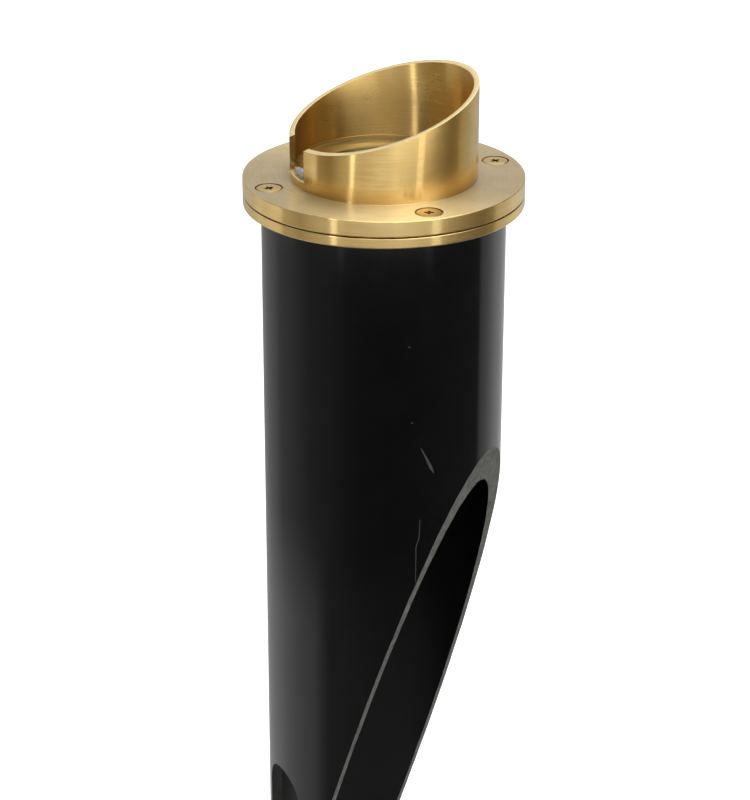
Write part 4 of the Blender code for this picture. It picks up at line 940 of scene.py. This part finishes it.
SEAL_IN, FILM_IN = LENS_R + 0.15, APERTURE + 0.5
seal = lathe("silicone_seal", (
    (SEAL_R, SEAL_TOP, 0.2), (SEAL_R, SEAL_LOW, 0.1), (FILM_IN, SEAL_LOW, 0.02),
    (FILM_IN, SEAL_LOW + 0.08, 0.02), (LENS_R - 2.6, SEAL_LOW + 0.7, 0.3), (SEAL_IN, SEAL_LOW + 0.7, 0.1),
    (SEAL_IN, SEAL_TOP, 0.2)), 144, silicone_film)
BEAD_FROM, BEAD_TO, BEAD_STEPS, BEAD_SIDES = -84.0, -56.0, 36, 16
bead = bmesh.new()
rows = []
for number in range(BEAD_STEPS + 1):
    share = number / BEAD_STEPS
    way = direction(BEAD_FROM + (BEAD_TO - BEAD_FROM) * share)
    swell = math.sin(math.pi * min(1.0, share * 1.1)) ** 0.7 * (1 + 0.16 * math.sin(23 * share))
    wide, tall = 0.15 + 0.7 * swell, 0.15 + (0.4 + 1.9 * share) * swell
    middle = SEAL_TOP - 0.8 + 0.9 * share
    oval = [way * (SEAL_R + wide * math.cos(a)) + Vector((0, 0, middle + tall * math.sin(a)))
            for a in (math.tau * side / BEAD_SIDES for side in range(BEAD_SIDES))]
    rows.append([bead.verts.new(point * MM) for point in oval])
for one, two in zip(rows, rows[1:]):
    for here in range(BEAD_SIDES):
        there = (here + 1) % BEAD_SIDES
        bead.faces.new((one[here], one[there], two[there], two[here]))
bead.faces.new(rows[0])
bead.faces.new(rows[-1])
bmesh.ops.recalc_face_normals(bead, faces=bead.faces)
combined(seal, "UNION", mesh_object("silicone_bead_tool", bead, cured_silicone))
fit(seal, "cover", "silicone", "lens_seal")
print("silicone finishes:", [m.name for m in seal.data.materials])

# %% [markdown]
# ## Housing can
# The can is turned from the same brass: a flange that the cover closes, two lands with grooves for the
# rubber rings, a thick floor with the gland's hole, and a groove for the gasket in its top face. The profile
# runs down the outside and back up the inside. The tapped holes are cut after it.

# %% Housing can
CAN_LOW, CAN_TOP = span("housing_can")[1:]
SLEEVE_SEAT, SEAT_R = SLEEVE_TOP + 0.3, SLEEVE_R + 0.5
LAND_R, BODY_R, GROOVE_R, CAN_BORE, TAPPED_R = 33.29, 32.64, 31.69, 30.44, 2.15
LAND_HALF, LAND_FOOT, RING_HALF = 3.3, 3.95, 1.05     # half lengths: land, land with chamfers, groove
RING_NODES = ("sleeve_oring_upper", "sleeve_oring_lower")
RING_Z = [sum(span(node)[1:]) / 2 for node in RING_NODES]
CARRIER_R, CARRIER_LOW, CARRIER_TOP = span("lamp_carrier")[0], CAN_TOP - 1.2, CAN_TOP
CARRIER_SEAT, CARRIER_SEAT_R = CARRIER_LOW - 0.15, CARRIER_R + 0.15
GASKET_R, GASKET_LOW, GASKET_TOP = span("flange_gasket")
GASKET_IN, GASKET_SEAT = GASKET_R - 1.8, GASKET_LOW - 0.15
FLOOR_TOP, GLAND_HOLE = CAN_LOW + 4.0, 8.25


def land(middle, from_top):
    """Corners of a land with its ring groove, down the outside of the can."""
    lead_in = [] if from_top else [(BODY_R, middle + LAND_FOOT, 0.2), (LAND_R, middle + LAND_HALF, 0.1)]
    return lead_in + [
        (LAND_R, middle + RING_HALF, 0.15), (GROOVE_R, middle + RING_HALF, 0.1),
        (GROOVE_R, middle - RING_HALF, 0.1), (LAND_R, middle - RING_HALF, 0.15),
        (LAND_R, middle - LAND_HALF, 0.1), (BODY_R, middle - LAND_FOOT, 0.2)]


# The can takes the paler brass, which paints light on its flange's edge, the part that shows.
can = lathe("brass_housing_can", (
    (FLANGE_R, CAN_TOP, 0.2), (FLANGE_R, 0, 0.3), (SEAT_R, 0, 0.1), (SEAT_R, SLEEVE_SEAT, 0.05),
    (LAND_R, SLEEVE_SEAT, 0.1), *land(RING_Z[0], True), *land(RING_Z[1], False), (BODY_R, CAN_LOW, 1.0),
    (GLAND_HOLE, CAN_LOW, 0.3), (GLAND_HOLE, FLOOR_TOP, 0.3), (CAN_BORE, FLOOR_TOP, 0.8),
    (CAN_BORE, CARRIER_SEAT, 0.1), (CARRIER_SEAT_R, CARRIER_SEAT, 0.05), (CARRIER_SEAT_R, CAN_TOP, 0.1),
    (GASKET_IN - 0.15, CAN_TOP, 0.1), (GASKET_IN - 0.15, GASKET_SEAT, 0.05),
    (GASKET_R + 0.15, GASKET_SEAT, 0.05), (GASKET_R + 0.15, CAN_TOP, 0.1)), 192, paler_side_brass)
combined(can, "DIFFERENCE", *at_screws(lambda: bar(TAPPED_R, -1, CAN_TOP + 1)))
fit(can, "head", "brass", "housing_can")

# %% [markdown]
# ## Rubber rings and gasket
# Two rubber rings hold the can in the pipe, and a flat gasket keeps water out between the flanges. All three
# are plain turned sections.

# %% Rubber pieces
RING_WIRE, RING_SIDES = 0.9, 20
gasket = lathe("rubber_flange_gasket", ring(GASKET_R, GASKET_IN, GASKET_LOW, GASKET_TOP, 0.25), 144,
               moulded_rubber)
fit(gasket, "head", "rubber", "flange_gasket")
ring_r = SLEEVE_R - SLEEVE_WALL - 0.25 - RING_WIRE
for node, height in zip(RING_NODES, RING_Z):
    section = [(ring_r + RING_WIRE * math.cos(a), height - RING_WIRE * math.sin(a))
               for a in (math.tau * side / RING_SIDES for side in range(RING_SIDES))]
    fit(mesh_object("rubber_" + node, turned(section, 144), moulded_rubber), "head", "rubber", node)

# %% [markdown]
# ## Lamp carrier and gimbal
# The carrier is a stamped steel ring with two ears bent down, and the gimbal ring hangs between them on two
# pivot screws. Both are a dark grey steel, so they hardly shine through the lens.
# The ears are drawn as one outline with a rounded end, made solid and joined to the ring.

# %% Lamp carrier
PIVOT_Z = sum(span("pivot_screw_right")[1:]) / 2
EAR_IN, EAR_OUT, EAR_HALF, EAR_FLARE, PIVOT_HOLE = 28.0, 29.0, 4.0, 1.2, 1.65


def slab(outline, axis_from, axis_to):
    """A bmesh of an outline of (across, height) points in mm, extruded along X between two places in mm."""
    made = bmesh.new()
    face = made.faces.new([made.verts.new((axis_from * MM, y * MM, z * MM)) for y, z in outline])
    raised = bmesh.ops.extrude_face_region(made, geom=[face])["geom"]
    bmesh.ops.translate(made, verts=[v for v in raised if isinstance(v, bmesh.types.BMVert)],
                        vec=((axis_to - axis_from) * MM, 0, 0))
    bmesh.ops.recalc_face_normals(made, faces=made.faces)
    return made


def along_x(made):
    """Turns a bmesh from Z to X and lifts it to the pivot's height."""
    bmesh.ops.transform(made, verts=made.verts, matrix=Matrix.Translation((0, 0, PIVOT_Z * MM))
                        @ Matrix.Rotation(math.pi / 2, 4, "Y"))
    return made


def pivot_holes(inner, outer):
    """Tools along X at the pivot's height, from one place to another on both sides, in mm."""
    return [mesh_object("cross_hole_tool", along_x(bar(PIVOT_HOLE, *ends)), dark_steel)
            for ends in ((inner, outer), (-outer, -inner))]


ear_end = [(EAR_HALF * math.cos(a), PIVOT_Z + EAR_HALF * math.sin(a))
           for a in (math.radians(180 + 180 * i / 24) for i in range(25))]
ear_outline = [(EAR_HALF, CARRIER_TOP - 0.6), (EAR_HALF + EAR_FLARE, CARRIER_TOP - 0.3),
               (-EAR_HALF - EAR_FLARE, CARRIER_TOP - 0.3), (-EAR_HALF, CARRIER_TOP - 0.6)] + ear_end
carrier = lathe("steel_lamp_carrier", ring(CARRIER_R, EAR_IN - 1.8, CARRIER_LOW, CARRIER_TOP, 0.15), 128,
                dark_steel)
ears = [mesh_object("ear_tool", slab(ear_outline, side * EAR_IN, side * EAR_OUT), dark_steel)
        for side in (-1, 1)]
combined(carrier, "UNION", *ears)
combined(carrier, "DIFFERENCE", *pivot_holes(EAR_IN - 2, EAR_OUT + 1))
fit(carrier, "head", "steel", "lamp_carrier")

# %% Gimbal ring
GIMBAL_R, GIMBAL_LOW, GIMBAL_TOP = span("gimbal_ring")
LAMP_R, LAMP_LOW, LAMP_TOP = span("lamp_reflector")
RIM_UNDER = LAMP_TOP - 2.6
GIMBAL_IN, LIP_IN, LIP_TOP = LAMP_R + 0.4, LAMP_R - 0.6, RIM_UNDER - 0.3
LIP_LOW, CLIP_Z, CLIP_GROOVE, GROOVE_HALF = LIP_TOP - 1.2, LAMP_TOP + 0.8, GIMBAL_IN + 0.5, 0.65
gimbal = lathe("steel_gimbal_ring", (
    (GIMBAL_R, GIMBAL_TOP, 0.2), (GIMBAL_R, GIMBAL_LOW, 0.2), (GIMBAL_IN, GIMBAL_LOW, 0.1),
    (GIMBAL_IN, LIP_LOW, 0.1), (LIP_IN, LIP_LOW, 0.15), (LIP_IN, LIP_TOP, 0.15), (GIMBAL_IN, LIP_TOP, 0.05),
    (GIMBAL_IN, CLIP_Z - GROOVE_HALF, 0.05), (CLIP_GROOVE, CLIP_Z - GROOVE_HALF, 0.2),
    (CLIP_GROOVE, CLIP_Z + GROOVE_HALF, 0.2), (GIMBAL_IN, CLIP_Z + GROOVE_HALF, 0.05),
    (GIMBAL_IN, GIMBAL_TOP, 0.2)), 128, dark_steel)
combined(gimbal, "DIFFERENCE", *pivot_holes(GIMBAL_IN + 0.5, GIMBAL_R + 2))
fit(gimbal, "lamp", "steel", "gimbal_ring")

# %% [markdown]
# ## Pivot screws and washers
# A headed screw and a friction washer sit on each side of the gimbal. One of each is turned along X, and the
# tree that set the cover screws sets these too, two copies round the axis with no random turn.

# %% Pivot screws and washers
PIVOT_TIP, PIVOT_END = (corner.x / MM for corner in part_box("pivot_screw_right"))
WASHER_FROM, WASHER_TO = (corner.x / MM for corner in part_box("pivot_washer_right"))
PIVOT_R, PIVOT_HEAD_R, PIVOT_HEAD = 1.5, 2.3, PIVOT_END - 0.9
BLADE_SIZE, BLADE_TURN, WASHER_OUT = (0.9, 0.7, 6), 35, 3.4
pivot_profile = rounded(((0, PIVOT_END, 0), (PIVOT_HEAD_R, PIVOT_END, 0.3), (PIVOT_HEAD_R, PIVOT_HEAD, 0.1),
                         (PIVOT_R, PIVOT_HEAD, 0.05), (PIVOT_R, PIVOT_TIP, 0.2), (0, PIVOT_TIP, 0)))
pivot = mesh_object("pivot_master", along_x(turned(pivot_profile, 48)), bright_steel)
blade = block(
    Matrix.Translation((PIVOT_END * MM, 0, PIVOT_Z * MM)), Matrix.Rotation(math.radians(BLADE_TURN), 4, "X"),
    Matrix.Diagonal((*(size * MM for size in BLADE_SIZE), 1)))
combined(pivot, "DIFFERENCE", mesh_object("slot_tool", blade, bright_steel))
washer_profile = rounded(ring(WASHER_OUT, PIVOT_HOLE, WASHER_FROM, WASHER_TO, 0.12, 0.08))
washer = mesh_object("washer_master", along_x(turned(washer_profile, 48)), moulded_rubber)
for name, master, finish, slot, part in (("pivot_screws", pivot, bright_steel, "steel", "pivot_screw"),
                                         ("pivot_washers", washer, moulded_rubber, "rubber", "pivot_washer")):
    pair = grown(name, copies_tree, {"Piece": master, "Count": 2, "Circle radius": 0.0, "First angle": 0.0,
                                     "Spin": 0.0, "Seed": 0, "Finish": finish})
    bpy.data.objects.remove(master)
    fit(pair, "lamp", slot, part + "_left", part + "_right")

# %% [markdown]
# ## Lamp
# A 50 mm reflector lamp: a pressed glass bowl with a mirror coat, a front glass, a quartz capsule, a ceramic
# base and two pins. The bowl's inside carries shallow dimples in rings, which blur the filament, so its
# radius is modulated by a product of two waves after it is turned.

# %% Reflector
BOWL_ROWS, BOWL_SEGMENTS, DIMPLE, DIMPLES_ROUND, DIMPLE_RINGS = 36, 144, 0.12, 24, 9
BOWL_DEPTH, BOWL_WALL, NECK_R = 28.0, 1.8, 9.0
CAPSULE_R, CAPSULE_LOW, CAPSULE_TOP = span("lamp_capsule")
RIM_IN, RIM_STEP = LAMP_R - 1.2, LAMP_TOP - 1.5
outer_rim = LAMP_R - 1.0
inner_rim, inner_neck = outer_rim - BOWL_WALL, CAPSULE_R + 0.3


def bowl(share, rim_r, neck_r):
    """Radius of the parabolic bowl at a share of its depth."""
    return math.sqrt(rim_r ** 2 + (neck_r ** 2 - rim_r ** 2) * share)


shares = [i / BOWL_ROWS for i in range(BOWL_ROWS + 1)]
outside = [(bowl(s, outer_rim, NECK_R), RIM_UNDER - s * BOWL_DEPTH) for s in shares]
inside = [(bowl(s, inner_rim, inner_neck), RIM_UNDER - s * (BOWL_DEPTH - BOWL_WALL))
          for s in reversed(shares)]
rim_corners = rounded(((LAMP_R, LAMP_TOP, 0.3), (LAMP_R, RIM_UNDER, 0.2),
                       (outer_rim - 0.01, RIM_UNDER, 0.05)))[:-1]
bowl_mesh = turned(rim_corners + outside + [(NECK_R, LAMP_LOW), (inner_neck, LAMP_LOW)] + inside + [
    (inner_rim, RIM_STEP), (RIM_IN, RIM_STEP), (RIM_IN, LAMP_TOP)], BOWL_SEGMENTS)
for corner in bowl_mesh.verts:
    depth = (RIM_UNDER - corner.co.z / MM) / (BOWL_DEPTH - BOWL_WALL)
    reach = corner.co.xy.length / MM
    if 0.02 < depth < 0.98 and abs(reach - bowl(depth, inner_rim, inner_neck)) < 0.02:
        wave = (math.cos(DIMPLES_ROUND * math.atan2(corner.co.y, corner.co.x))
                * math.cos(DIMPLE_RINGS * math.tau * depth))
        corner.co.xy *= 1 - DIMPLE * wave * math.sin(math.pi * depth) / reach
fit(mesh_object("mirror_lamp_reflector", bowl_mesh, mirror_coat), "lamp", "mirror_glass", "lamp_reflector")

# %% Front glass, capsule, base, pins and socket
FRONT_R, FRONT_LOW, FRONT_TOP = span("lamp_cover_glass")
front = lathe("lamp_front_glass", ring(FRONT_R, 0, FRONT_LOW, FRONT_TOP, 0.2, 0), 96, lens_glass)
fit(front, "lamp", "lens_glass", "lamp_cover_glass")
dome = [(CAPSULE_R * math.sin(a), CAPSULE_TOP - CAPSULE_R + CAPSULE_R * math.cos(a))
        for a in (math.pi / 2 * i / 10 for i in range(11))]
capsule_profile = dome + [(CAPSULE_R, CAPSULE_LOW), (0, CAPSULE_LOW)]
capsule = mesh_object("quartz_lamp_capsule", turned(capsule_profile, 64), quartz)
fit(capsule, "lamp", "mirror_glass", "lamp_capsule")


def rounded_block(node, corner_mm, edge_mm):
    """A bmesh block that fills a CAD node's box, with rounded uprights and softer top and bottom edges."""
    low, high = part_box(node)
    made = block(Matrix.Translation((low + high) / 2), Matrix.Diagonal((*(high - low), 1)))
    uprights = [e for e in made.edges if abs(e.verts[0].co.z - e.verts[1].co.z) > 1e-6]
    bmesh.ops.bevel(made, geom=uprights, offset=corner_mm * MM, segments=6, affect="EDGES", profile=0.5)
    rims = [e for e in made.edges if abs(e.verts[0].co.z - e.verts[1].co.z) < 1e-9
            and len(e.link_faces) == 2 and abs(e.link_faces[0].normal.z - e.link_faces[1].normal.z) > 0.5]
    bmesh.ops.bevel(made, geom=rims, offset=edge_mm * MM, segments=3, affect="EDGES", profile=0.5)
    return made


base = mesh_object("ceramic_lamp_base", rounded_block("lamp_base", 1.5, 0.4), pressed_ceramic)
fit(base, "lamp", "ceramic", "lamp_base")
socket = mesh_object("ceramic_lamp_socket", rounded_block("lamp_socket", 1.5, 0.5), pressed_ceramic)
SOCKET_TOP = span("lamp_socket")[2]
pin_holes = []
for node in ("lamp_pin_1", "lamp_pin_2"):
    pin_r, pin_low, pin_top = span(node)
    hole_r, hole_low = pin_r + 0.15, pin_low - 0.3
    pin = turned(rounded((
        (0, pin_top, 0), (pin_r, pin_top, 0.1), (pin_r, pin_low, 0.5), (0, pin_low, 0))), 24)
    hole = turned((
        (0, SOCKET_TOP + 1), (hole_r + 0.5, SOCKET_TOP + 1), (hole_r, SOCKET_TOP - 0.5), (hole_r, hole_low),
        (0, hole_low)), 24)
    for made in (pin, hole):
        bmesh.ops.translate(made, verts=made.verts, vec=(sum(corner.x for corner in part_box(node)) / 2, 0, 0))
    fit(mesh_object("steel_" + node, pin, bright_steel), "lamp", "steel", node)
    pin_holes.append(mesh_object("pin_hole_tool", hole, pressed_ceramic))
combined(socket, "DIFFERENCE", *pin_holes)
fit(socket, "lamp", "ceramic", "lamp_socket")

# %% [markdown]
# ## Spring clip
# An open ring of spring wire snaps into the gimbal's groove over the lamp's rim. A bevelled curve is wire
# already, so it is only turned into a mesh.

# %% Spring clip
CLIP_WIRE, CLIP_GAP, CLIP_STEPS = 0.5, 40.0, 143
wire = bpy.data.curves.new("lamp_spring_clip", "CURVE")
wire.dimensions, wire.bevel_depth, wire.bevel_resolution, wire.use_fill_caps = "3D", CLIP_WIRE * MM, 4, True
strand = wire.splines.new("POLY")
strand.points.add(CLIP_STEPS)
for number, point in enumerate(strand.points):
    way = direction(CLIP_GAP / 2 + (360 - CLIP_GAP) * number / CLIP_STEPS)
    point.co = (*(way.xy * (GIMBAL_IN - CLIP_WIRE / 2) * MM), CLIP_Z * MM, 1)
wire_object = link("wire_master", wire)
clip_mesh = evaluated(wire_object)
bpy.data.objects.remove(wire_object)
clip_mesh.materials.clear()
clip_mesh.materials.append(bright_steel)
fit(link("steel_spring_clip", smoothed(clip_mesh)), "lamp", "steel", "lamp_clip")

# %% [markdown]
# ## Cable gland
# The gland in the can's floor is black nylon: a body with a hexagon, a locknut inside, a rubber washer and
# bush, and a domed clamping nut. A hexagon with chamfered corners is a turned shape cut by six flats, so each
# is made as the common part of a hexagonal bar and a turned envelope.

# %% Gland sizes and hexagons
HEX_ACROSS = 22.0
HEX_CORNER = HEX_ACROSS / 2 / math.cos(math.pi / 6)
HEX_TOP = span("gland_washer")[1] - 0.3
HEX_LOW, HEX_BORE = HEX_TOP - 6.0, 7.5
GLAND_END, GLAND_TOP = span("gland_body")[1:]
GLAND_THREAD, THREAD_PITCH, THREAD_DEPTH = 8.0, 1.5, 0.35
GLAND_LOWER, GLAND_POCKET, GLAND_BORE, NUT_MOUTH, BUSH_BORE = 8.8, 7.0, 4.6, 4.8, 4.3
LOCK_LOW, LOCK_TOP = span("gland_locknut")[1:]
NUT_LOW, NUT_TOP = span("gland_nut")[1:]
BUSH_LOW, BUSH_TOP = span("gland_bush")[1:]
WASHER_R, WASHER_LOW, WASHER_TOP = span("gland_washer")


def hexagon(name, top, inset, fall, lower, bore):
    """A hexagonal piece: a six-sided bar, kept inside a turned envelope with a chamfered top and the given
    lower corners, and bored by a turned tool."""
    low = lower[-1][1]
    bar_mesh = bar(HEX_CORNER, low, top, 6)
    bmesh.ops.rotate(bar_mesh, verts=bar_mesh.verts, matrix=Matrix.Rotation(math.pi / 6, 3, "Z"))
    made = mesh_object(name, bar_mesh, moulded_nylon)
    upper = (0, top, 0), (HEX_CORNER - inset, top, 0.1), (HEX_CORNER + 0.1, top - fall, 0.1)
    skin = lathe("envelope_tool", upper + lower, 96, moulded_nylon)
    combined(made, "INTERSECT", skin)
    return combined(made, "DIFFERENCE", mesh_object("bore_tool", bore, moulded_nylon))


print("radius to a hexagon's corner:", round(HEX_CORNER, 2), "mm")

# %% Gland body
gland = hexagon("nylon_gland_body", HEX_TOP, 0.9, 0.7, (
    (HEX_CORNER + 0.1, HEX_LOW + 0.7, 0.1), (HEX_CORNER - 0.9, HEX_LOW, 0.1), (0, HEX_LOW, 0)),
    bar(HEX_BORE, HEX_LOW - 1, HEX_TOP + 1, 64))
thread_rows = int((GLAND_TOP - HEX_TOP) / THREAD_PITCH)
thread = [(GLAND_THREAD - THREAD_DEPTH * (step % 2), GLAND_TOP - 0.3 - step * THREAD_PITCH / 2)
          for step in range(2 * thread_rows)]
shoulder, upper, lower = HEX_ACROSS / 2 - 0.3, HEX_TOP - 0.3, HEX_LOW + 0.3
core = turned([
    (GLAND_THREAD - 0.4, GLAND_TOP), *thread, (GLAND_THREAD, upper), (shoulder, upper), (shoulder, lower),
    (GLAND_LOWER, lower), (GLAND_LOWER, GLAND_END + 0.3), (GLAND_LOWER - 0.3, GLAND_END),
    (GLAND_POCKET, GLAND_END), (GLAND_POCKET, lower), (GLAND_BORE, lower), (GLAND_BORE, GLAND_TOP)], 96)
combined(gland, "UNION", mesh_object("core_tool", core, moulded_nylon))
fit(gland, "head", "nylon", "gland_body")

# %% Locknut, clamping nut, bush and washer
locknut = hexagon("nylon_gland_locknut", LOCK_TOP, 0.9, 0.6, (
    (HEX_CORNER + 0.1, LOCK_LOW + 0.2, 0.1), (HEX_CORNER - 0.2, LOCK_LOW, 0.1), (0, LOCK_LOW, 0)),
    bar(GLAND_HOLE, LOCK_LOW - 1, LOCK_TOP + 1, 64))
fit(locknut, "head", "nylon", "gland_locknut")

nut_bore, nut_seat = GLAND_LOWER + 0.25, BUSH_LOW - 0.3
nut = hexagon("nylon_gland_nut", NUT_TOP, 0.4, 0.5, (
    (HEX_CORNER + 0.1, NUT_LOW + 6.0, 1.0), (10.4, NUT_LOW + 1.6, 2.0), (7.6, NUT_LOW, 0.8), (0, NUT_LOW, 0)),
    turned((
        (0, NUT_TOP + 1), (nut_bore, NUT_TOP + 1), (nut_bore, nut_seat),
        (NUT_MOUTH, (nut_seat + NUT_LOW) / 2), (NUT_MOUTH, NUT_LOW - 1), (0, NUT_LOW - 1)), 64))
fit(nut, "head", "nylon", "gland_nut")

BUSH_R = GLAND_POCKET - 0.25
bush = lathe("rubber_gland_bush", (
    (BUSH_R, BUSH_TOP, 0.3), (BUSH_R, BUSH_LOW, 0.6), (BUSH_BORE, BUSH_LOW, 0.3), (BUSH_BORE, BUSH_TOP, 0.3)),
    64, moulded_rubber)
fit(bush, "head", "rubber", "gland_bush")
washer = lathe("rubber_gland_washer", ring(WASHER_R, GLAND_HOLE, WASHER_LOW, WASHER_TOP, 0.3, 0.2), 96,
               moulded_rubber)
fit(washer, "head", "rubber", "gland_washer")
